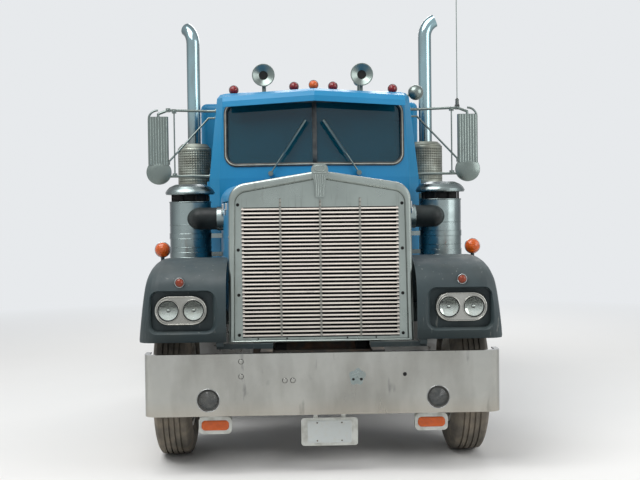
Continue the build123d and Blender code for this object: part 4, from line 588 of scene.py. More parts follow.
def mix_soft_finishes(settings):
    tyre = Mixer("tyre_rubber", srgb(78, 75, 69), rough=0.88)
    tyre.patches(9, 8.0, 0.38, 0.66, 0.75, srgb(128, 118, 104))
    tyre.roughness(20, 0.75, 0.95)
    tyre.grain(140, 5.0, 0.0006)
    tyre.dust(settings, 0.7, 0.0, 0.6)

    black = Mixer("black_rubber", srgb(38, 40, 41), rough=0.62)
    black.patches(16, 7.0, 0.4, 0.68, 0.6, srgb(84, 84, 80))
    black.roughness(24, 0.5, 0.8)
    black.grain(160, 4.0, 0.0004)
    black.dust(settings, 0.4, 0.3, 0.5)

    elbow = Mixer("hose_rubber", srgb(26, 31, 31), rough=0.42, steady={"Specular IOR Level": 0.25})
    elbow.patches(7, 6.0, 0.42, 0.7, 0.5, srgb(56, 62, 60))
    elbow.roughness(14, 0.35, 0.6)
    elbow.grain(45, 4.0, 0.0008)

    cream = Mixer("seal_insert", srgb(176, 174, 160), rough=0.5)
    cream.patches(12, 6.0, 0.45, 0.7, 0.7, srgb(118, 114, 104))
    cream.grain(90, 4.0, 0.0004)

    plastic = Mixer("moulded_plastic", srgb(44, 44, 46), rough=0.55)
    plastic.patches(14, 5.0, 0.45, 0.7, 0.4, srgb(74, 72, 68))
    plastic.relief(plastic.cells(420), 0.0004)
    plastic.roughness(20, 0.42, 0.7)

    cloth_sockets = {"Sheen Weight": 0.4, "Sheen Roughness": 0.4}
    cloth = Mixer("seat_cloth", srgb(72, 74, 84), rough=0.9, steady=cloth_sockets)
    weave = cloth.product(cloth.waves(180, "X"), cloth.waves(180, "Z"))
    cloth.tint(cloth.level(weave, 0.1, 0.7, 0.0, 0.5), srgb(104, 106, 116))
    cloth.patches(5, 5.0, 0.45, 0.7, 0.4, srgb(58, 56, 60))
    cloth.relief(weave, 0.001)


def mix_lenses(settings):
    lens_sockets = {"Coat Weight": 0.4, "Coat Roughness": 0.04, "Specular IOR Level": 0.3}
    for name, colour in (("amber_lens", settings.amber_colour), ("red_lens", settings.red_colour)):
        lens = Mixer(name, colour, rough=0.14, steady={**lens_sockets, "Transmission Weight": 0.25})
        lens.patches(40, 3.0, 0.4, 0.7, 0.45, scaled(colour, 0.6))
        lens.roughness(30, 0.08, 0.22)
        lens.relief(lens.cells(260), 0.0006, 0.6)

    aged = Mixer("aged_lens", srgb(138, 50, 16), rough=0.2, steady=lens_sockets)
    aged.patches(60, 3.0, 0.4, 0.7, 0.5, srgb(84, 34, 16))
    aged.roughness(30, 0.14, 0.3)

    bowl = Mixer("lamp_bowl", srgb(74, 78, 72), rough=0.07, metal=1.0)
    # Painted reflection: the bowl's faces that look up are painted near white over its dark base
    bowl.tint(bowl.upward(-0.2, 0.3), srgb(250, 252, 248))
    bowl.roughness(40, 0.04, 0.12)

    clear_sockets = {"Transmission Weight": 1.0, "IOR": 1.45}
    clear = Mixer("clear_lens", srgb(238, 242, 240), rough=0.04, steady=clear_sockets)
    clear.patches(30, 6.0, 0.5, 0.8, 0.3, srgb(210, 204, 186))
    clear.roughness(50, 0.02, 0.09)

    smoked_sockets = {"Coat Weight": 0.6, "Coat Roughness": 0.1}
    smoked = Mixer("smoked_lens", srgb(46, 50, 50), rough=0.2, steady=smoked_sockets)
    smoked.patches(22, 6.0, 0.42, 0.68, 0.7, srgb(82, 82, 76))
    smoked.roughness(18, 0.16, 0.4)

    glass_sockets = {"Transmission Weight": 0.6, "IOR": 1.45}
    glass = Mixer("tinted_glass", settings.glass_colour, rough=0.03, steady=glass_sockets)
    glass.patches(2.5, 4.0, 0.4, 0.7, 0.35, scaled(settings.glass_colour, 0.6))
    glass.roughness(7, 0.01, 0.08, 6.0)


NODE_FINISHES = {
    "cab_paint": ("hood_body", "hood_lid_left", "hood_lid_right", "cab_shell", "door_left", "door_right",
                  "visor", "sleeper_shell"),
    "fender_paint": ("fenders",),
    "frame_paint": ("frame",),
    "wheel_paint": ("rim_front_left", "rim_front_right", "rims_mid_left", "rims_mid_right",
                    "rims_rear_left", "rims_rear_right"),
    "holder_paint": ("bumper_hangers",),
    "bumper_chrome": ("front_bumper", "headlamp_bezels"),
    "satin_chrome": ("roof_fittings", "mirror_left", "mirror_right", "wipers"),
    "shell_steel": ("radiator_shell",),
    "bar_alloy": ("grille_bars",),
    "cleaner_steel": ("air_cleaners",),
    "tank_alloy": ("fuel_tanks", "step_boxes", "gearbox"),
    "stack_chrome": ("exhaust_pipes",),
    "guard_steel": ("mufflers",),
    "cast_iron": ("front_axle", "suspension", "drive_axles", "knuckle_left", "knuckle_right", "tie_rod",
                  "engine_block", "fifth_wheel_base"),
    "greasy_iron": ("fifth_wheel_plate",),
    "radiator_fins": ("radiator_core",),
    "black_rubber": ("mud_flaps",),
    "hose_rubber": ("intake_pipes",),
    "moulded_plastic": ("dashboard", "steering_wheel"),
    "red_lens": ("red_lamps",),
    "amber_lens": ("amber_lamps",),
    "tinted_glass": ("windshield_glass", "door_glass_left", "door_glass_right"),
}


class TRUCK_OT_finishes(bpy.types.Operator):
    """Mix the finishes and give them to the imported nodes"""

    bl_idname = "truck.finishes"
    bl_label = "Finishes"

    def execute(self, context):
        settings = context.scene.truck_finish
        mix_paints(settings)
        mix_bright_metals(settings)
        mix_dark_metals(settings)
        mix_soft_finishes(settings)
        mix_lenses(settings)
        for finish, nodes in NODE_FINISHES.items():
            for node in nodes:
                for material_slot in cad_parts[node].material_slots:
                    material_slot.material = bpy.data.materials[finish]
        return {"FINISHED"}


# Tyres
def tyre_profile(grooves, settings):
    """Closed section of a tyre as (along the axle, radius, whether a lug stands there)."""
    crown_half, crown_drop, inner_edge = 0.085, 0.003, 0.0015
    shoulder_x, shoulder_r = 0.108, WHEEL_RADIUS - 0.016
    bead_x, bead_r = 0.1035, 0.331
    side_bulge = TYRE_WIDTH / 2 - shoulder_x
    wall = []
    wall_steps, line_steps, line_depth = 14, (4, 11), 0.0025
    for i in range(wall_steps + 1):
        share = i / wall_steps
        bulge = side_bulge * sin(pi * share) ** 0.8
        line = line_depth if i in line_steps else 0.0
        wall.append((bead_x + (shoulder_x - bead_x) * share + bulge - line,
                     bead_r + (shoulder_r - bead_r) * share, False))
    tread = []
    groove_edges = [groove + side * settings.groove_width / 2 for groove in grooves for side in (-1, 1)]
    edges = sorted([-crown_half, crown_half, *groove_edges])
    for i, x in enumerate(edges):
        surface = WHEEL_RADIUS - crown_drop * (x / crown_half) ** 2
        floor = surface - settings.groove_depth
        if i in (0, len(edges) - 1):
            tread.append((x, surface, True))
        elif i % 2:
            tread.append((x, surface, True))
            tread.append((x + inner_edge, floor, False))
        else:
            tread.append((x - inner_edge, floor, False))
            tread.append((x, surface, True))
    shoulder = (0.1, WHEEL_RADIUS - 0.007, True)
    inside = [(0.1035, 0.3113, False), (0.0817, 0.3113, False), (0.0917, 0.36, False), (0.1155, 0.425, False),
              (0.1, 0.485, False)]
    right = [*wall, shoulder]
    left = [(-x, r, lug) for x, r, lug in reversed(right)]
    crown = [(-x, r, lug) for x, r, lug in tread]
    within_left = [(-x, r, lug) for x, r, lug in inside]
    within_right = list(reversed(inside))
    return [*right, *crown, *left, *within_left, (0, 0.509, False), *within_right]


def add_tyre(form, centre_x, centre_y, grooves, steps, settings, lug_steps=0):
    """One tyre; with lug steps its tread is cut across at every lug."""
    rows = []
    for x, radius, lug in tyre_profile(grooves, settings):
        row = []
        for i in range(steps):
            angle = FULL_TURN * i / steps
            reach = radius
            if lug and lug_steps:
                skew = lug_steps // 2 if x > 0 else 0
                cut = (i + skew) % lug_steps >= lug_steps - 2
                reach = radius - settings.groove_depth if cut else radius
            row.append((centre_x + x, centre_y + reach * sin(angle), AXLE_Z + reach * cos(angle)))
        rows.append(row)
    form.skin(rows, close_rows=True)


class TRUCK_OT_tyres(bpy.types.Operator):
    """Put ribbed tyres in front and lugged tyres on the drive axles"""

    bl_idname = "truck.tyres"
    bl_label = "Tyres"

    def execute(self, context):
        settings = context.scene.truck_tyres
        for side, _ in SIDES:
            low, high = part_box(f"tyre_front_{side}")
            form = Form()
            middle = (low + high) / 2
            add_tyre(form, middle.x, middle.y, (-0.058, -0.02, 0.02, 0.058), settings.steps, settings)
            tyre = make_piece(form, f"steered_tyre_{side}", "tyre_rubber", 30, f"wheel_front_{side}")
            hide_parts(f"tyre_front_{side}")
            for place in ("mid", "rear"):
                node = f"tyres_{place}_{side}"
                low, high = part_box(node)
                middle_y = (low.y + high.y) / 2
                form = Form()
                for x in (low.x + TYRE_WIDTH / 2, high.x - TYRE_WIDTH / 2):
                    add_tyre(form, x, middle_y, (-0.045, 0.0, 0.045), settings.lug_count * 6, settings, 6)
                tyre = make_piece(form, f"drive_tyres_{place}_{side}", "tyre_rubber", 30,
                                  f"wheel_{place}_{side}")
                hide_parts(node)
        return {"FINISHED"}


class TRUCK_OT_wheel_fittings(bpy.types.Operator):
    """Put nuts and hub caps on the wheels"""

    bl_idname = "truck.wheel_fittings"
    bl_label = "Wheel fittings"

    def execute(self, context):
        stud_circle, stud_count, nut_radius, nut_height = 0.168, 10, 0.017, 0.03
        hub_bolt_inset, hub_bolt_count, hub_bolt_radius, hub_bolt_height = 0.022, 8, 0.008, 0.012
        for side, sign in SIDES:
            wheels = [("front", 1.19, 1.207, 0.085), ("mid", 0.934, 1.07, 0.1), ("rear", 0.934, 1.07, 0.1)]
            for place, disc_x, hub_x, hub_radius in wheels:
                node = f"rim_front_{side}" if place == "front" else f"rims_{place}_{side}"
                low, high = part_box(node)
                centre_y = (low.y + high.y) / 2
                out = (sign, 0, 0)
                form = Form()
                for u, v in circle(stud_circle, stud_count, 0.5):
                    form.bolt((sign * disc_x, centre_y + u, AXLE_Z + v), out, nut_radius, nut_height)
                for u, v in circle(hub_radius - hub_bolt_inset, hub_bolt_count):
                    spot = (sign * (hub_x - 0.005), centre_y + u, AXLE_Z + v)
                    form.bolt(spot, out, hub_bolt_radius, hub_bolt_height)
                cap = [(-0.005, 0.05), (0.012, 0.048), (0.02, 0.036), (0.022, 0.0)]
                form.lathe(cap, (sign * hub_x, centre_y, AXLE_Z), out, 24)
                wheel = f"wheel_{place}_{side}"
                make_piece(form, f"wheel_nuts_{place}_{side}", "cast_iron", body=wheel)
        return {"FINISHED"}


# Lamps
HEADLAMP_X, HEADLAMP_D, HEADLAMP_Z, HEADLAMP_SPACING = 0.985, 0.2, 1.115, 0.176


def headlamp_places():
    return [at(sign * HEADLAMP_X + shift * HEADLAMP_SPACING / 2, HEADLAMP_D, HEADLAMP_Z)
            for _, sign in SIDES for shift in (-1, 1)]


class TRUCK_OT_headlamps(bpy.types.Operator):
    """Build the headlamps as sealed beams: a bowl, a bulb shield and a fluted lens"""

    bl_idname = "truck.headlamps"
    bl_label = "Headlamps"

    def execute(self, context):
        bowls, lenses, rings, gaskets = Form(), Form(), Form(), Form()
        bowl_radius, bowl_depth = 0.066, 0.0165
        for place in headlamp_places():
            front = place + 0.0155 * FORWARD
            bowls.dish(place + 0.001 * REARWARD, REARWARD, bowl_radius, bowl_depth, 10, 40)
            bowls.dome(place + 0.012 * REARWARD, FORWARD, 0.013, 0.006, 20, 4)
            self.add_lens(lenses, front)
            rings.hoop(front + 0.006 * REARWARD, REARWARD, 0.0765, 0.0045)
            gaskets.hoop(front + 0.003 * REARWARD, REARWARD, 0.0708, 0.0032)
        for _, sign in SIDES:
            border = rounded_loop(0.176, 0.096, 0.096, 16)
            path = [at(sign * HEADLAMP_X + u, HEADLAMP_D - 0.009, HEADLAMP_Z + v) for u, v in border]
            rings.tube(path, 0.006, 10, closed=True)
        bowl_piece = make_piece(bowls, "headlamp_bowls", "lamp_bowl", 60)
        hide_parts("white_lamps")
        make_piece(lenses, "headlamp_lenses", "clear_lens", 60)
        make_piece(rings, "headlamp_rings", "bumper_chrome", 60)
        make_piece(gaskets, "headlamp_gaskets", "hose_rubber", 60)
        return {"FINISHED"}

    def add_lens(self, form, place):
        """Shallow glass dome with upright flutes on its inner face."""
        lens_radius, flute_count, flute_depth, thickness, crown = 0.0735, 15, 0.0009, 0.003, 0.006
        steps, rings = 72, 12
        outer, inner = [], []
        for i in range(rings + 1):
            radius = max(1e-4, lens_radius * i / rings)
            front = crown * (radius / lens_radius) ** 2
            outer.append([place + Vector((x, front, z)) for x, z in circle(radius, steps)])
            row = []
            for x, z in circle(radius, steps):
                flute = flute_depth * cos(pi * flute_count * x / lens_radius)
                row.append(place + Vector((x, front + thickness + flute, z)))
            inner.append(row)
        form.skin([*outer, *reversed(inner)])


class TRUCK_OT_road_lamps(bpy.types.Operator):
    """Build the dark driving lamps in the bumper"""

    bl_idname = "truck.road_lamps"
    bl_label = "Driving lamps"

    def execute(self, context):
        lamp_x, lamp_z, radius = 0.789, 0.515, 0.0767
        glass, holders, bright = Form(), Form(), Form()
        for _, sign in SIDES:
            place = at(sign * lamp_x, 0.012, lamp_z)
            bright.hoop(place + 0.007 * FORWARD, REARWARD, radius + 0.0015, 0.0028, 56, 8)
            self.add_ribbed_glass(glass, place, radius - 0.009)
            profile = [(0.036, radius), (-0.004, radius), (-0.009, radius - 0.004), (-0.004, radius - 0.01),
                       (0.006, radius - 0.011), (0.006, radius - 0.013), (0.036, radius - 0.013)]
            holders.lathe(profile, place, REARWARD, 48, closed=True)
            for shift in (-0.022, 0.022):
                ends = [place + Vector((u, -0.003, shift)) for u in (-0.066, 0.066)]
                holders.tube(ends, 0.002, 8)
        make_piece(glass, "road_lamp_glass", "smoked_lens", 40)
        make_piece(holders, "road_lamp_holders", "black_rubber", 40)
        make_piece(bright, "road_lamp_rings", "bright_chrome", 60)
        return {"FINISHED"}

    def add_ribbed_glass(self, form, place, radius):
        rows = []
        rings, steps = 14, 48
        for i in range(rings + 1):
            reach = max(1e-4, radius * i / rings)
            wave = 0.0012 * cos(pi * i)
            crown = -0.006 * (1 - (i / rings) ** 2)
            rows.append([place + Vector((x, crown + wave, z)) for x, z in circle(reach, steps)])
        rim = [point + 0.02 * REARWARD for point in rows[-1]]
        form.skin([*rows, rim])
        form.face(rim)


def ribbed_lens_profile(radius, height, ribs):
    """Crowned lens with round ribs, as (along, radius) points."""
    points = []
    steps = ribs * 4
    for i in range(steps + 1):
        angle = pi / 2 * i / steps
        ripple = 0.018 * radius * cos(FULL_TURN * ribs * i / steps)
        points.append(((height + ripple) * sin(angle), max(0.0, (radius + ripple) * cos(angle))))
    return points


class TRUCK_OT_marker_lamps(bpy.types.Operator):
    """Put ribbed lenses, rims and shells on the small lamps"""

    bl_idname = "truck.marker_lamps"
    bl_label = "Marker lamps"

    def execute(self, context):
        amber, aged, red, rims = Form(), Form(), Form(), Form()
        roof = [(0.0, 1.69, 2.852, amber)]
        for _, sign in SIDES:
            roof.append((sign * 0.163, 1.73, 2.843, red))
            roof.append((sign * 0.67, 1.8, 2.826, red))
        for x, distance, z, lens in roof:
            place = at(x, distance, z)
            lens.lathe(ribbed_lens_profile(0.037, 0.040, 5), place, FORWARD, 32)
            lens.face(ring(place, FORWARD, 0.0375, 32))
            shell = [(-0.006, 0.0385), (-0.006, 0.041), (0.004, 0.0415), (0.03, 0.036), (0.05, 0.022),
                     (0.056, 0.0)]
            rims.lathe(shell, place, REARWARD, 32)
            rims.box((x - 0.012, place.y - 0.002, z - 0.048), (x + 0.012, place.y + 0.03, z - 0.03))
        for _, sign in SIDES:
            self.add_fender_lamps(amber, aged, rims, sign)
            self.add_turn_lens(amber, sign)
        for x in (-0.3, -0.18, 0.18, 0.3):
            place = at(x, 7.5605, 0.87)
            red.lathe(ribbed_lens_profile(0.049, 0.026, 4), place, REARWARD, 32)
            red.face(ring(place, REARWARD, 0.0497, 32))
            rims.hoop(place + 0.004 * REARWARD, REARWARD, 0.051, 0.004, 40, 8)
        amber_piece = make_piece(amber, "amber_lenses", "amber_lens", 60)
        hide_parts("amber_lamps")
        aged_piece = make_piece(aged, "brow_lenses", "aged_lens", 60)
        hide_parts("amber_lamps")
        red_piece = make_piece(red, "red_lenses", "red_lens", 60)
        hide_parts("red_lamps")
        make_piece(rims, "lamp_rims", "bright_chrome", 50)
        return {"FINISHED"}

    def add_fender_lamps(self, lenses, aged, rims, sign):
        crown = at(sign * 1.185, 0.9, 1.519)
        for way in (FORWARD, REARWARD):
            lenses.lathe(ribbed_lens_profile(0.055, 0.05, 5), crown + way * 0.005, way, 40)
        lenses.lathe([(-0.005, 0.056), (0.005, 0.056)], crown, FORWARD, 40)
        rims.hoop(crown, FORWARD, 0.0565, 0.004, 48, 8)
        brow = at(sign * 0.99, 0.184, 1.311)
        aged.lathe(ribbed_lens_profile(0.028, 0.018, 3), brow, FORWARD, 28)
        aged.lathe([(0.0, 0.0285), (-0.03, 0.0285)], brow, FORWARD, 28)
        rims.lathe([(0.002, 0.029), (0.004, 0.034), (0.0, 0.0375), (-0.03, 0.0375)], brow, FORWARD, 32)

    def add_turn_lens(self, lenses, sign):
        """Crowned lens with a flat rim, on the holder under the bumper."""
        rows = []
        centre_x, centre_z, front = sign * 0.746, 0.335, 0.0415
        half_width, half_height, corner = 0.094, 0.034, 0.027
        for inset, distance in ((0.0, 0.066), (0.0, 0.047), (0.004, 0.0435), (0.012, 0.042), (0.022, front)):
            loop = rounded_loop(half_width - inset, half_height - inset, max(0.004, corner - inset), 5)
            rows.append([at(centre_x + u, distance, centre_z + v) for u, v in loop])
        lenses.skin(rows)
        lenses.face(rows[-1])
        for i in range(11):
            x = centre_x + (i - 5) * 0.0135
            lenses.tube([at(x, front, centre_z - 0.012), at(x, front, centre_z + 0.012)], 0.0012, 6)


# Front end
class TRUCK_OT_bumper_fittings(bpy.types.Operator):
    """Put painted shade in the holes, dark rings of painted shadow and rust round the bolts, a crumpled sheet
    and the blank number plate on the bumper
    """

    bl_idname = "truck.bumper_fittings"
    bl_label = "Bumper fittings"

    def execute(self, context):
        holes, torn = Form(), Form()
        face = back(0.005)
        # Painted shade in the bumper's holes
        for x, z, radius in ((0.206, 0.645, 0.010), (0.260, 0.645, 0.011), (0.560, 0.675, 0.014)):
            holes.lathe([(0.0, radius), (0.0046, 0.8 * radius), (0.0046, 0.0)], (x, face, z), FORWARD, 16)
        # Dark rings of painted shadow and rust round the bolts
        for x, z in ((-0.562, 0.778), (-0.562, 0.676), (-0.264, 0.644), (-0.209, 0.644)):
            holes.hoop((x, face, z), FORWARD, 0.0165, 0.002, 24, 6)
        self.add_crumpled_sheet(torn, Vector((0.233, face, 0.662)))
        make_piece(holes, "bumper_hole_shade", "black_and_painted_shade")
        make_piece(torn, "torn_tow_hole", "cleaner_steel", 25)
        self.add_plate()
        return {"FINISHED"}

    def add_crumpled_sheet(self, form, centre):
        """Sheet that was bent and torn round the tow hook's holes."""
        half_width, half_height, most_proud, fold_scale = 0.05, 0.06, 0.0046, 95
        rings, steps = 14, 44
        rows = []
        for i in range(rings + 1):
            row = []
            for j in range(steps):
                angle = FULL_TURN * j / steps
                ragged = 1 + 0.1 * sin(2 * angle + 1.1) + 0.12 * sin(5 * angle + 0.4)
                share = max(0.001, i / rings)
                x = half_width * ragged * share * cos(angle)
                z = half_height * ragged * share * sin(angle)
                fold = abs(noise.noise(Vector((x, 0.0, z)) * fold_scale))
                proud = most_proud * (1 - share ** 3) * (0.25 + 0.75 * min(1.0, 2.2 * fold))
                row.append(centre + Vector((x, -proud, z)))
            rows.append(row)
        form.skin(rows)

    def add_plate(self):
        """Blank plate with a raised border and four screws."""
        plate_x, plate_z, front = 0.040, 0.2805, back(0.0397)
        half_width, half_height, corner = 0.1525, 0.0765, 0.012
        plate, screws = Form(), Form()
        rows = []
        border = ((0.0, 0.0), (0.0, 0.0015), (0.004, 0.0022), (0.008, 0.0022), (0.010, 0.0012))
        for inset, proud in border:
            loop = rounded_loop(half_width - inset, half_height - inset, corner - inset * 0.6, 6)
            rows.append([(plate_x + u, front - proud, plate_z + v) for u, v in loop])
        plate.skin(rows)
        plate.face(rows[-1])
        plate.face(reversed(rows[0]))
        make_piece(plate, "number_plate", "blank_plate", 40)
        for u in (-0.085, 0.085):
            for v in (-0.062, 0.062):
                screws.dome((plate_x + u, front - 0.001, plate_z + v), FORWARD, 0.006, 0.003, 12, 3)
        make_piece(screws, "plate_screws", "cast_iron", 60)


class TRUCK_OT_shell_fittings(bpy.types.Operator):
    """Put screws on the radiator shell, ribs on its plain ornament and a dark sheet of painted shade behind
    the slats
    """

    bl_idname = "truck.shell_fittings"
    bl_label = "Shell fittings"

    def execute(self, context):
        screws, relief, side_bolts = Form(), Form(), Form()
        panel_y = back(0.305)
        flank_x, flank_spread, flank_top, flank_height = 0.645, 0.015, 1.986, 1.114
        for _, sign in SIDES:
            for z in (1.85, 1.53, 1.21, 0.925):
                screws.bolt((sign * 0.583, panel_y, z), FORWARD, 0.0085, 0.006)
            for x in (0.42, 0.215):
                screws.bolt((sign * x - 0.03, panel_y, 0.8975), FORWARD, 0.0045, 0.004)
            for z in (1.62, 1.3, 1.02):
                side_x = flank_x + flank_spread * (flank_top - z) / flank_height
                side_bolts.dome(at(sign * side_x, 0.36, z), (sign, 0, 0), 0.012, 0.007, 12, 3)
        make_piece(screws, "shell_screws", "black_and_painted_shade")
        self.add_gap_shade()
        ornament_y = back(0.262)
        rib = ((0.0115, 1.905), (0.0135, 2.0), (0.017, 2.06))
        for i in range(-2, 3):
            relief.tube([(i * spread, ornament_y, z) for spread, z in rib], 0.0045, 8)
        relief.tube([(-0.046, ornament_y, 2.07), (0.046, ornament_y, 2.07)], 0.005, 10)
        border = rounded_loop(0.036, 0.018, 0.016, 5)
        relief.tube([(u, ornament_y, 2.101 + v) for u, v in border], 0.0035, 8, closed=True)
        make_piece(relief, "ornament_ribs", "shell_steel", 60)
        make_piece(side_bolts, "shell_side_bolts", "bright_chrome", 60)
        return {"FINISHED"}

    def add_gap_shade(self):
        """Folded dark sheet behind the slats, painted shade in the gaps between them."""
        low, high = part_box("grille_bars")
        pleats = 112
        rows = []
        for depth in (0.0, 0.002):
            for z in (low.z, high.z - 0.06):
                row = []
                for i in range(pleats + 1):
                    x = low.x + 0.002 + (high.x - low.x - 0.004) * i / pleats
                    row.append((x, high.y + 0.001 + depth + 0.003 * (i % 2), z))
                rows.append(row)
        gap_shade_sheet = Form().skin([rows[0], rows[1], rows[3], rows[2]], close_rows=True, close_points=False)
        make_piece(gap_shade_sheet, "grille_gap_shade", "black_and_painted_shade", 20)


# The cab's outer faces, and the windshield in them
CAB_FRONT_D, CAB_HALF, VEE_SLOPE, BELT_Z, EAVE_Z = 1.52, 0.885, 0.18 / 0.795, 2.08, 2.76
LEAN_BACK, LEAN_IN = 0.06, 0.07
SCREEN_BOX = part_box("windshield_glass")
SCREEN_HALF, SCREEN_LOW, SCREEN_HIGH, SCREEN_CORNER = SCREEN_BOX[1].x, SCREEN_BOX[0].z, SCREEN_BOX[1].z, 0.09


def above_belt(z):
    """0 up to the cab's belt and 1 at its eaves."""
    return max(0.0, z - BELT_Z) / (EAVE_Z - BELT_Z)


def cab_face(x, z):
    """Y of the cab's outer face in front, at a place beside the middle and a height."""
    return back(CAB_FRONT_D + LEAN_BACK * above_belt(z) + VEE_SLOPE * abs(x))


class TRUCK_OT_windshield_seal(bpy.types.Operator):
    """Seat the windshield in a rubber seal with a pale insert"""

    bl_idname = "truck.windshield_seal"
    bl_label = "Windshield seal"

    def execute(self, context):
        width = context.scene.truck_trim.seal_width
        rubber, insert = Form(), Form()
        section = ((-0.55, 0.001), (-0.5, 0.007), (-0.15, 0.010), (0.25, 0.008), (0.4, 0.002), (0.42, -0.012))
        rubber.skin([self.screen_loop(share * width, proud) for share, proud in section])
        self.add_divider(rubber)
        piece = make_piece(rubber, "windshield_seal", "black_rubber", 50)
        thicken(piece, 0.003)
        insert.tube(self.screen_loop(-0.08 * width, 0.0105), 0.0048, 8, closed=True)
        make_piece(insert, "seal_insert", "seal_insert", 60)
        return {"FINISHED"}

    def screen_loop(self, margin, proud):
        """Outline of both panes, moved inwards by the margin and forwards from the cab's face."""
        half_height = (SCREEN_HIGH - SCREEN_LOW) / 2 - margin
        middle_z = (SCREEN_HIGH + SCREEN_LOW) / 2
        points = []
        for u, v in rounded_loop(SCREEN_HALF - margin, half_height, SCREEN_CORNER - margin, 10):
            points.append((u, v))
            if points[-2:-1] and (points[-2][0] > 0) != (u > 0):
                points.insert(-1, (0.0, v))
        points.append((0.0, points[-1][1]))
        return [(u, cab_face(u, middle_z + v) - proud, middle_z + v) for u, v in points]

    def add_divider(self, form):
        levels = [SCREEN_LOW + (SCREEN_HIGH - SCREEN_LOW) * i / 6 for i in range(7)]
        section = ((-0.018, -0.012), (-0.017, 0.004), (-0.009, 0.008), (0.009, 0.008), (0.017, 0.004),
                   (0.018, -0.012))
        rows = [[(u, cab_face(u, z) - proud, z) for z in levels] for u, proud in section]
        form.skin(rows, close_points=False)


# Exhaust and intake
class TRUCK_OT_muffler_guards(bpy.types.Operator):
    """Wrap the mufflers' front in perforated guards"""

    bl_idname = "truck.muffler_guards"
    bl_label = "Muffler guards"

    def execute(self, context):
        pitch = context.scene.truck_trim.hole_pitch
        muffler = at(1.125, 3.195, 0)
        radius, low, high, rows_per_band = 0.160, 1.35, 2.42, 15
        arc_start, arc_end = radians(-205), radians(25)
        columns = round(radius * (arc_end - arc_start) / pitch)
        rows = round((high - low) / pitch)
        for side, sign in SIDES:
            form = Form()

            def place(column, row):
                angle = arc_start + (arc_end - arc_start) * column / columns
                z = low + (high - low) * row / rows
                return (sign * (muffler.x + radius * cos(angle)), muffler.y + radius * sin(angle), z)

            for column in range(columns):
                for row in range(rows):
                    at_edge = row in (0, rows - 1) or column in (0, columns - 1)
                    solid = at_edge or row % rows_per_band == 0
                    self.add_cell(form, place, column, row, solid)
            guard = make_piece(form, f"muffler_guard_{side}", "guard_steel", 40)
            thicken(guard, 0.0015, 1.0)
        return {"FINISHED"}

    def add_cell(self, form, place, column, row, solid):
        """A square of sheet, with a slot in it unless it is solid."""
        slot_width, slot_height, corner_share = 0.66, 0.5, 0.8
        around = [(-0.5, -0.5), (0, -0.5), (0.5, -0.5), (0.5, 0),
                  (0.5, 0.5), (0, 0.5), (-0.5, 0.5), (-0.5, 0)]
        middle_column, middle_row = column + 0.5, row + 0.5
        outer = [place(middle_column + u, middle_row + v) for u, v in around]
        if solid:
            form.face(outer)
            return
        inner = []
        for u, v in around:
            share = corner_share if u and v else 1.0
            inner.append(place(middle_column + share * slot_width * u, middle_row + share * slot_height * v))
        form.skin([outer, inner])


class TRUCK_OT_cleaner_fittings(bpy.types.Operator):
    """Put beads, posts, clamps and a dark throat on the air cleaners; the throat and the dark posts are
    painted shade under the cap
    """

    bl_idname = "truck.cleaner_fittings"
    bl_label = "Air cleaner fittings"

    def execute(self, context):
        bright, dark = Form(), Form()
        post_circle, post_count, post_half, post_height, throat_z = 0.150, 8, 0.007, 0.0565, 1.8885
        duct_x, duct_d, duct_z, band_half, band_radius = 0.754, 1.285, 1.75, 0.036, 0.0942
        for _, sign in SIDES:
            axis = at(sign * 1.02, 1.47, 0)
            for z, radius, thickness in ((1.884, 0.166, 0.006), (1.70, 0.1675, 0.003), (1.52, 0.1675, 0.003),
                                         (1.960, 0.1965, 0.0045)):
                bright.hoop(axis + z * UP, UP, radius, thickness, 64, 8)
            # Painted shade in the throat and on the posts under the cap
            dark.lathe([(1.890, 0.136), (1.943, 0.136)], axis, UP, 48)
            for u, v in circle(post_circle, post_count, 0.5):
                foot = axis + Vector((u, v, throat_z))
                low = foot - Vector((post_half, post_half, 0))
                dark.box(low, foot + Vector((post_half, post_half, post_height)))
            for z in (1.44, 1.48, 1.59, 1.63):
                bright.hoop(axis + z * UP, UP, 0.1705, 0.002, 64, 6)
            band = [(band_half * (i / 6 - 1), band_radius + 0.0022 * (i % 2)) for i in range(13)]
            duct = at(sign * duct_x, duct_d, duct_z)
            bright.lathe([(-band_half, 0.086), *band, (band_half, 0.086)], duct, (1, 0, 0), 48)
        make_piece(bright, "cleaner_fittings", "cleaner_steel", 50)
        make_piece(dark, "cleaner_throat_shade", "black_and_painted_shade", 50)
        return {"FINISHED"}


class TRUCK_OT_horn_fittings(bpy.types.Operator):
    """Put painted shade in the horns' throats and roll their rims"""

    bl_idname = "truck.horn_fittings"
    bl_label = "Horn fittings"

    def execute(self, context):
        throats, rims = Form(), Form()
        for _, sign in SIDES:
            mouth = at(sign * 0.423, 1.95, 2.97)
            # Painted shade inside the horn's throat
            throat = [(0.0245, 0.0375), (0.0262, 0.034), (0.028, 0.03), (0.0185, 0.0)]
            throats.lathe(throat, mouth, REARWARD, 40)
            rims.hoop(mouth + 0.003 * REARWARD, REARWARD, 0.094, 0.0035, 56, 10)
        make_piece(throats, "horn_throat_shade", "black_and_painted_shade", 50)
        make_piece(rims, "horn_rims", "satin_chrome", 60)
        return {"FINISHED"}


# Mirrors
MIRROR_X, MIRROR_Z, ROUND_MIRROR_Z = 1.32, 2.4085, 2.145


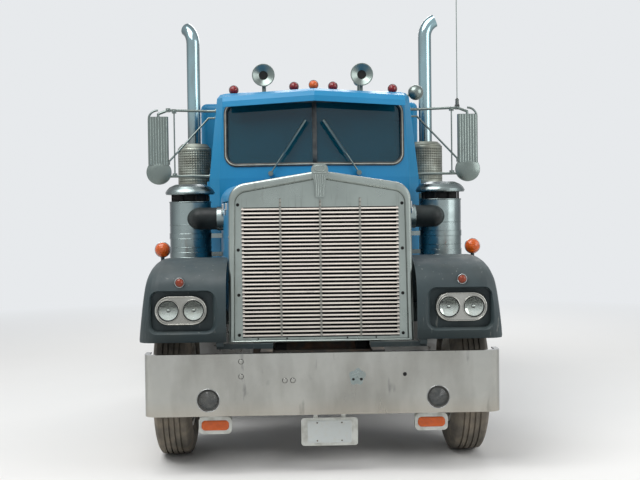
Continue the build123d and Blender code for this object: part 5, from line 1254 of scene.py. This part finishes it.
class TRUCK_OT_mirror_fittings(bpy.types.Operator):
    """Put frames, ribbed backs, mirror glass, clamps and the aerial's foot on the mirror arms"""

    bl_idname = "truck.mirror_fittings"
    bl_label = "Mirror fittings"

    def execute(self, context):
        for side, sign in SIDES:
            bright, glass = Form(), Form()
            self.add_frame(bright, sign)
            self.add_back(bright, sign)
            x = sign * MIRROR_X
            rows = []
            for inset, distance in ((0.0, 1.928), (0.0, 1.930), (0.003, 1.931)):
                loop = rounded_loop(0.0785 - inset, 0.2045 - inset, 0.01, 4)
                rows.append([at(x + u, distance, MIRROR_Z + v) for u, v in loop])
            glass.skin(rows)
            glass.face(rows[-1])
            glass.dish(at(x, 1.9155, ROUND_MIRROR_Z), REARWARD, 0.096, 0.010, 8, 40)
            body = f"door_{side}"
            make_piece(bright, f"mirror_trim_{side}", "satin_chrome", 50, body)
            make_piece(glass, f"mirror_glass_{side}", "mirror_glass", 50, body)
            if side == "left":
                self.add_aerial_foot(body)
        return {"FINISHED"}

    def add_frame(self, form, sign):
        """Outer bar round each mirror, the inner bar and the clamps."""
        reach, rise, upper_z, lower_z = 0.08, 0.072, 2.6, 2.2
        turns = [radians(angle) for angle in range(0, 91, 15)]
        upper = [(MIRROR_X + reach * sin(turn), upper_z + rise * cos(turn)) for turn in turns]
        lower = [(MIRROR_X + reach * cos(turn), lower_z - rise * sin(turn)) for turn in turns]
        form.tube([at(sign * x, 1.897, z) for x, z in (*upper, *lower)], 0.009, 10)
        form.tube([at(sign * 1.186, 1.911, z) for z in (2.12, 2.664)], 0.006, 8)
        clamps = ((1.186, 1.911, 2.12), (1.186, 1.911, 2.662), (1.245, 1.905, 2.225), (1.235, 1.905, 2.672))
        for x, distance, z in clamps:
            form.block(at(sign * x, distance, z), (0.036, 0.036, 0.032))
            form.bolt(at(sign * x, distance - 0.018, z), FORWARD, 0.008, 0.008)

    def add_back(self, form, sign):
        """Pressed back of the mirror with upright ribs, and the round mirror's dome."""
        x, front, columns = sign * MIRROR_X, 1.88, 72
        half_width, rib_pitch, rib_height = 0.081, 0.0225, 0.0035
        levels = (2.205, 2.212, 2.3, 2.41, 2.52, 2.605, 2.612)
        rows = []
        for i in range(columns + 1):
            u = half_width * (2 * i / columns - 1)
            rib = rib_height * max(0.0, cos(FULL_TURN * u / rib_pitch))
            edge = 0.003 if 0 < i < columns else -0.004
            rows.append([at(x + u, front - edge - rib, z) for z in levels])
        form.skin(rows, close_points=False)
        form.dish(at(x, 1.8855, ROUND_MIRROR_Z), FORWARD, 0.104, 0.018, 8, 48)
        form.hoop(at(x, 1.9, ROUND_MIRROR_Z), REARWARD, 0.102, 0.003, 56, 8)

    def add_aerial_foot(self, body):
        """Rubber foot with a coil spring, under the aerial."""
        foot = Form()
        spring = at(1.235, 1.905, 0)
        foot.lathe([(2.66, 0.02), (2.69, 0.022), (2.70, 0.018), (2.70, 0.0)], spring, UP, 24)
        for i in range(5):
            foot.hoop(spring + (2.706 + i * 0.009) * UP, UP, 0.012, 0.004, 24, 8)
        foot.lathe([(2.745, 0.011), (2.755, 0.006), (2.755, 0.0)], spring, UP, 20)
        make_piece(foot, "aerial_foot", "black_rubber", 50, body)


# Cab and sleeper trim
def rivet_line(form, start, end, axis, settings):
    start, end = Vector(start), Vector(end)
    count = max(2, round((end - start).length / settings.rivet_pitch))
    for i in range(count + 1):
        form.dome(start.lerp(end, i / count), axis, settings.rivet_radius, settings.rivet_radius * 0.45, 8, 2)


class TRUCK_OT_rivets(bpy.types.Operator):
    """Rivet the sleeper's and the cab's panels"""

    bl_idname = "truck.rivets"
    bl_label = "Rivets"

    def execute(self, context):
        settings = context.scene.truck_trim
        form = Form()
        low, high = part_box("sleeper_shell")
        edge, cab_rear, waist_z = 0.075, 2.95, 1.9
        front, rear = low.y + edge, high.y - edge
        bottom, top = 1.165, high.z - 0.08
        for _, sign in SIDES:
            x = sign * high.x
            out = (sign, 0, 0)
            for z in (bottom, bottom + 0.05, waist_z, top):
                rivet_line(form, (x, front, z), (x, rear, z), out, settings)
            for y in (front, rear):
                rivet_line(form, (x, y, bottom + 0.1), (x, y, top - 0.05), out, settings)
            for rear_x in (sign * (high.x - edge), sign * 0.36):
                rivet_line(form, (rear_x, high.y, bottom), (rear_x, high.y, top), REARWARD, settings)
            cab_x = sign * CAB_HALF
            rivet_line(form, at(cab_x, cab_rear, 1.2), at(cab_x, cab_rear, 2.05), out, settings)
            rivet_line(form, at(cab_x, 1.9, 1.21), at(cab_x, cab_rear, 1.21), out, settings)
        for z in (bottom, waist_z, top):
            rivet_line(form, (-high.x + 0.09, high.y, z), (high.x - 0.09, high.y, z), REARWARD, settings)
        make_piece(form, "rivets", "cab_paint", 70)
        return {"FINISHED"}


def door_face(z):
    """X of the door's outer face at a height."""
    return CAB_HALF - LEAN_IN * above_belt(z)


class TRUCK_OT_door_fittings(bpy.types.Operator):
    """Put handles, locks and window seals on the doors"""

    bl_idname = "truck.door_fittings"
    bl_label = "Door fittings"

    def execute(self, context):
        sill_z, head_z = 2.12, 2.635
        panes = (
            ((1.905, sill_z), (2.095, sill_z), (2.095, head_z), (1.95, head_z)),
            ((2.135, sill_z), (2.80, sill_z), (2.80, head_z), (2.135, head_z)),
        )
        for side, sign in SIDES:
            seals, chrome = Form(), Form()
            for pane in panes:
                path = self.rounded_path(pane, 0.025)
                seals.tube([at(sign * (door_face(z) + 0.001), d, z) for d, z in path], 0.007, 8, closed=True)
            make_piece(seals, f"window_seals_{side}", "black_rubber", 60, f"door_{side}")
            handle, out = at(sign * CAB_HALF, 2.74, 1.66), Vector((sign, 0, 0))
            rose = [(0.0, 0.03), (0.006, 0.029), (0.008, 0.02), (0.02, 0.012), (0.02, 0.0)]
            chrome.lathe(rose, handle, out, 28)
            grip = ((0.018, 0, 0), (0.03, -0.02, 0), (0.03, -0.14, -0.004))
            chrome.tube([handle + Vector((sign * u, v, w)) for u, v, w in grip], 0.008, 12)
            chrome.dome(handle - 0.075 * UP, out, 0.013, 0.005, 16, 3)
            make_piece(chrome, f"door_handle_{side}", "bright_chrome", 50, f"door_{side}")
        return {"FINISHED"}

    def rounded_path(self, corners, cut):
        """Outline with its corners cut to short arcs."""
        path = []
        count = len(corners)
        for i, corner in enumerate(corners):
            here = Vector(corner)
            before = (Vector(corners[i - 1]) - here).normalized()
            after = (Vector(corners[(i + 1) % count]) - here).normalized()
            start, end = here + before * cut, here + after * cut
            for share in (0.0, 0.25, 0.5, 0.75, 1.0):
                path.append(start.lerp(here, share).lerp(here.lerp(end, share), share))
        return path


class TRUCK_OT_cab_fittings(bpy.types.Operator):
    """Put grab rails on the sleeper and latches on the hood"""

    bl_idname = "truck.cab_fittings"
    bl_label = "Cab and hood fittings"

    def execute(self, context):
        chrome = Form()
        for _, sign in SIDES:
            rail = ((3.36, 1.5), (3.315, 1.54), (3.315, 2.26), (3.36, 2.3))
            chrome.tube([at(sign * 0.985, distance, z) for distance, z in rail], 0.011, 12)
            for distance in (0.62, 1.16):
                hood_x = sign * (0.656 + 0.102 * (distance - 0.41) / 0.98)
                chrome.block(at(hood_x, distance, 1.84), (0.02, 0.05, 0.05))
                chrome.tube([at(hood_x + sign * 0.012, distance, z) for z in (1.82, 1.775)], 0.006, 10)
        make_piece(chrome, "grab_rails_and_latches", "bright_chrome", 50, bevel=0.002)
        return {"FINISHED"}


class TRUCK_OT_boot(bpy.types.Operator):
    """Fold the rubber boot between the cab and the sleeper into pleats"""

    bl_idname = "truck.boot"
    bl_label = "Sleeper boot"

    def execute(self, context):
        low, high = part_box("sleeper_boot")
        middle_z = (low.z + high.z) / 2
        half_width, half_height = high.x, (high.z - low.z) / 2
        pleats, steps = 7, 8
        outer, inner = [], []
        for i in range(pleats * steps + 1):
            y = low.y + (high.y - low.y) * i / (pleats * steps)
            depth = 0.012 * (1 - cos(FULL_TURN * i / steps))
            for rows, inset in ((outer, depth), (inner, depth + 0.004)):
                loop = rounded_loop(half_width - inset, half_height - inset, 0.07, 8)
                rows.append([(u, y, middle_z + v) for u, v in loop])
        form = Form().skin([*outer, *reversed(inner)], close_rows=True)
        boot = make_piece(form, "pleated_boot", "black_rubber", 60)
        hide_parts("sleeper_boot")
        return {"FINISHED"}


# Seats
def pillow(form, centre, size, tilt=0.0, channels=(), pinch=0.12):
    """Crowned pad: its sides pull in between its corners, and sewn channels cross its top."""
    steps, squareness, roundness, channel_depth, channel_reach = 28, 5, 0.42, 0.35, 0.07
    half = Vector(size) / 2
    turn = Euler((tilt, 0, 0)).to_matrix()

    def place(u, v, top):
        edge = max(0.0, (1 - abs(u) ** squareness) * (1 - abs(v) ** squareness)) ** roundness
        height = top * half.z * edge
        for channel in channels:
            near = max(0.0, 1 - abs(u - channel) / channel_reach)
            height -= top * channel_depth * half.z * near * edge
        x = u * half.x * (1 - pinch * 0.25 * (1 - v * v) * abs(u) ** 3)
        y = v * half.y * (1 - pinch * 0.25 * (1 - u * u) * abs(v) ** 3)
        return Vector(centre) + turn @ Vector((x, y, height))

    grid = [-1 + 2 * i / steps for i in range(steps + 1)]
    for top in (1, -1):
        form.skin([[place(u, v, top) for u in grid] for v in grid], close_points=False)


class TRUCK_OT_seats(bpy.types.Operator):
    """Pad the two seats and the bunk"""

    bl_idname = "truck.seats"
    bl_label = "Seats and bunk"

    def execute(self, context):
        floor_z, seat_x, seat_y = 1.24, 0.42, back(2.3)
        pads = (
            # name, place behind the seat's front, height above the floor, size, tilt
            ("seat_cushion", 0.24, 0.375, (0.46, 0.48, 0.14), 0.0),
            ("seat_back", 0.5, 0.745, (0.45, 0.64, 0.12), radians(90)),
        )
        bases = Form()
        for side, sign in SIDES:
            x = sign * seat_x
            for name, behind, above, size, tilt in pads:
                form = Form()
                pillow(form, (x, seat_y + behind, floor_z + above), size, tilt, (-0.45, 0.0, 0.45))
                pad = make_piece(form, f"{name}_{side}", "seat_cloth", 60)
            bases.box((x - 0.17, seat_y + 0.06, floor_z + 0.0005), (x + 0.17, seat_y + 0.42, floor_z + 0.29))
            bases.box((x - 0.2, seat_y + 0.02, floor_z + 0.285), (x + 0.2, seat_y + 0.46, floor_z + 0.315))
        low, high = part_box("seats_and_bunk")
        bunk_front, bunk_top = back(3.496), 1.56
        bases.box((low.x + 0.001, bunk_front, 1.1855), (high.x - 0.001, high.y - 0.001, bunk_top - 0.17))
        mattress = Form()
        depth = high.y - bunk_front
        centre = (0, bunk_front + depth / 2, bunk_top - 0.085)
        size = (high.x - low.x - 0.02, depth - 0.01, 0.17)
        pillow(mattress, centre, size, channels=[i / 4 for i in range(-3, 4)])
        pad = make_piece(mattress, "bunk_mattress", "seat_cloth", 60)
        base = make_piece(bases, "seat_bases", "moulded_plastic", 40, bevel=0.006)
        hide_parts("seats_and_bunk")
        return {"FINISHED"}


# Tanks, boxes and frame
class TRUCK_OT_tank_fittings(bpy.types.Operator):
    """Put strap bolts, caps and step treads on the tanks and boxes"""

    bl_idname = "truck.tank_fittings"
    bl_label = "Tank and box fittings"

    def execute(self, context):
        steel, dark = Form(), Form()
        tank_x, tank_z, tank_radius = 0.905, 0.7, 0.31
        for _, sign in SIDES:
            for distance in (2.9, 3.88):
                clamp = at(sign * (tank_x + tank_radius * 0.72), distance, tank_z + tank_radius * 0.74)
                steel.block(clamp, (0.03, 0.05, 0.03))
                steel.bolt(clamp + 0.015 * UP, UP, 0.012, 0.02)
                for edge in (-0.043, 0.043):
                    strap_edge = at(sign * tank_x, distance + edge, tank_z)
                    dark.hoop(strap_edge, REARWARD, tank_radius + 0.002, 0.0028, 64, 6)
            cap = at(sign * (tank_x + 0.06), 3.04, 1.04)
            steel.lathe([(0.0, 0.05), (0.0, 0.052), (-0.02, 0.054), (-0.02, 0.0)], cap, UP, 24)
            for u, v in circle(0.053, 12):
                steel.block(cap + Vector((u, v, -0.012)), (0.008, 0.008, 0.022))
            for z in (0.506, 0.926):
                self.add_tread(dark, sign * 1.16, back(2.95), z + 0.0005, 0.13, 0.46)
            self.add_tread(dark, sign * 1.105, back(2.16), 0.7215, 0.16, 0.66)
            self.add_tread(dark, sign * 0.785, back(2.16), 1.0805, 0.42, 0.66)
            handle = ((1.011, 1.98), (1.041, 1.99), (1.041, 2.11), (1.011, 2.12))
            steel.tube([at(sign * x, distance, 0.93) for x, distance in handle], 0.006, 10)
        make_piece(steel, "tank_fittings", "tank_alloy", 40)
        make_piece(dark, "treads_and_strap_edges", "black_rubber", 40)
        return {"FINISHED"}

    def add_tread(self, form, x, y, z, width, length):
        """Rows of raised studs on a step."""
        across, along = max(2, round(width / 0.035)), max(2, round(length / 0.045))
        for i in range(across):
            for j in range(along):
                spot = (x + width * ((i + 0.5) / across - 0.5), y + length * ((j + 0.5) / along - 0.5), z)
                form.dome(spot, UP, 0.009, 0.003, 8, 2)


class TRUCK_OT_frame_fittings(bpy.types.Operator):
    """Put bolts along the frame rails and rivets on the deck plate"""

    bl_idname = "truck.frame_fittings"
    bl_label = "Frame fittings"

    def execute(self, context):
        radius = context.scene.truck_trim.bolt_radius
        form = Form()
        rail_x, low_z, high_z = 0.43, 0.78, 0.96
        groups = (1.99, 2.94, 4.28, 5.08, 5.9, 6.2, 6.5, 7.3)
        for _, sign in SIDES:
            for distance in groups:
                for shift in (-0.03, 0.03):
                    for z in (low_z, high_z):
                        form.bolt(at(sign * rail_x, distance + shift, z), (sign, 0, 0), radius, 0.012)
            for distance in (4.5, 4.8, 5.15):
                form.dome(at(sign * 0.38, distance, 1.007), UP, 0.012, 0.005, 12, 3)
        make_piece(form, "frame_bolts", "cast_iron", 40)
        return {"FINISHED"}


# Stage
WORLD_COLOUR = (0.80, 0.82, 0.84)


def aim(lamp, target):
    lamp.rotation_euler = (Vector(target) - lamp.location).to_track_quat("-Z", "Y").to_euler()


class TRUCK_OT_stage(bpy.types.Operator):
    """Set up the camera, the lamps, the floor and the world"""

    bl_idname = "truck.stage"
    bl_label = "Stage"

    def execute(self, context):
        settings = context.scene.truck_stage
        self.add_camera(context.scene, settings)
        self.add_lamps(context.scene, settings)
        self.add_floor(context.scene, settings)
        self.set_world(context.scene)
        context.scene.view_settings.view_transform = "Standard"
        return {"FINISHED"}

    def add_camera(self, scene, settings):
        data = bpy.data.cameras.new("camera")
        data.lens = settings.lens
        data.sensor_width = 36
        data.clip_end = 200
        camera = bpy.data.objects.new("camera", data)
        scene.collection.objects.link(camera)
        turn = Matrix.Rotation(-settings.yaw, 4, "Z")
        turn @= Matrix.Rotation(pi / 2 - settings.pitch, 4, "X")
        turn @= Matrix.Rotation(-settings.roll, 4, "Z")
        place = (-settings.camera_x, FRONT_Y - settings.camera_distance, settings.camera_height)
        camera.matrix_world = Matrix.Translation(place) @ turn
        scene.camera = camera

    def add_lamps(self, scene, settings):
        lamps = (
            # name, place, size, share of the key lamp's power
            ("key_lamp", (-3.5, -5.0, 9.5), 7.0, 1.0),
            ("fill_lamp", (7.5, -6.0, 4.5), 6.0, 0.35),
            ("rim_lamp", (2.0, 9.0, 8.0), 6.0, 0.6),
        )
        for name, place, size, share in lamps:
            data = bpy.data.lights.new(name, "AREA")
            data.energy = settings.key_power * share
            data.size = size
            lamp = bpy.data.objects.new(name, data)
            lamp.location = place
            aim(lamp, (0, 0, 1.4))
            scene.collection.objects.link(lamp)

    def add_floor(self, scene, settings):
        """Round floor that keeps the shadow near the truck and fades into the pale world further out."""
        form = Form()
        form.face(ring((0, 0, -0.001), UP, 70, 96))
        mesh = bpy.data.meshes.new("floor")
        mesh.from_pydata(form.points, [], form.faces)
        floor = bpy.data.objects.new("floor", mesh)
        scene.collection.objects.link(floor)
        finish = Mixer("floor_paint", settings.floor_colour, rough=0.9)
        finish.patches(1.2, 3.0, 0.35, 0.7, 0.2, scaled(settings.floor_colour, 0.96))
        self.fade_out(finish)
        mesh.materials.append(finish.material)

    def fade_out(self, finish):
        """Mix the floor into the world's pale colour with the distance from the truck."""
        reach = finish.node("VectorMath", {0: finish.place}, operation="LENGTH").outputs["Value"]
        share = finish.product(finish.level(reach, 4.5, 11.0), self.seen(finish.node))
        glow = finish.node("Emission", {"Color": WORLD_COLOUR, "Strength": 1.0}).outputs[0]
        mixed = finish.node("MixShader", {0: share, 1: finish.shader.outputs[0], 2: glow})
        output = next(n for n in finish.tree.nodes if n.type == "OUTPUT_MATERIAL")
        finish.tree.links.new(mixed.outputs[0], output.inputs["Surface"])

    def seen(self, node):
        """1 for rays from the camera, off gloss and through glass."""
        path = node("LightPath")
        share = path.outputs["Is Camera Ray"]
        for name in ("Is Glossy Ray", "Is Transmission Ray"):
            either = node("Math", operation="MAXIMUM")
            links = either.id_data.links
            links.new(share, either.inputs[0])
            links.new(path.outputs[name], either.inputs[1])
            share = either.outputs[0]
        return share

    def set_world(self, scene):
        world = bpy.data.worlds.new("pale_world")
        world.use_nodes = True
        tree = world.node_tree
        tree.nodes.clear()

        def node(kind, inputs=(), **settings):
            made = tree.nodes.new("ShaderNode" + kind)
            for name, value in settings.items():
                setattr(made, name, value)
            for name, value in dict(inputs).items():
                made.inputs[name].default_value = value
            return made

        soft = node("Background", {"Color": (0.92, 0.96, 1.0, 1.0), "Strength": 0.4})
        pale = node("Background", {"Color": (*WORLD_COLOUR, 1.0), "Strength": 1.0})
        mixed = node("MixShader")
        output = node("OutputWorld")
        tree.links.new(self.seen(node), mixed.inputs[0])
        tree.links.new(soft.outputs[0], mixed.inputs[1])
        tree.links.new(pale.outputs[0], mixed.inputs[2])
        tree.links.new(mixed.outputs[0], output.inputs["Surface"])
        scene.world = world


# Panel and start
OPERATORS = (
    TRUCK_OT_stage,
    TRUCK_OT_finishes,
    TRUCK_OT_tyres,
    TRUCK_OT_wheel_fittings,
    TRUCK_OT_headlamps,
    TRUCK_OT_road_lamps,
    TRUCK_OT_marker_lamps,
    TRUCK_OT_bumper_fittings,
    TRUCK_OT_shell_fittings,
    TRUCK_OT_windshield_seal,
    TRUCK_OT_muffler_guards,
    TRUCK_OT_cleaner_fittings,
    TRUCK_OT_horn_fittings,
    TRUCK_OT_mirror_fittings,
    TRUCK_OT_rivets,
    TRUCK_OT_door_fittings,
    TRUCK_OT_cab_fittings,
    TRUCK_OT_boot,
    TRUCK_OT_seats,
    TRUCK_OT_tank_fittings,
    TRUCK_OT_frame_fittings,
)


class TRUCK_PT_panel(bpy.types.Panel):
    """Lists the settings and the steps that dress the truck"""

    bl_idname = "TRUCK_PT_panel"
    bl_label = "Truck tractor"
    bl_space_type = "VIEW_3D"
    bl_region_type = "UI"
    bl_category = "Truck"

    def draw(self, context):
        for name in SETTINGS:
            group = getattr(context.scene, name)
            box = self.layout.box()
            for field in group.bl_rna.properties:
                if field.identifier not in ("rna_type", "name"):
                    box.prop(group, field.identifier)
        for operator in OPERATORS:
            self.layout.operator(operator.bl_idname)


SETTINGS = {
    "truck_finish": FinishSettings,
    "truck_tyres": TyreSettings,
    "truck_trim": TrimSettings,
    "truck_stage": StageSettings,
}


def register():
    for cls in (*SETTINGS.values(), *OPERATORS, TRUCK_PT_panel):
        bpy.utils.register_class(cls)
    for name, group in SETTINGS.items():
        setattr(bpy.types.Scene, name, PointerProperty(type=group))


def unregister():
    for name in SETTINGS:
        delattr(bpy.types.Scene, name)
    for cls in reversed((*SETTINGS.values(), *OPERATORS, TRUCK_PT_panel)):
        bpy.utils.unregister_class(cls)


def main():
    register()
    for operator in OPERATORS:
        step = operator.bl_idname.split(".")[1]
        getattr(bpy.ops.truck, step)()


if __name__ == "__main__":
    main()
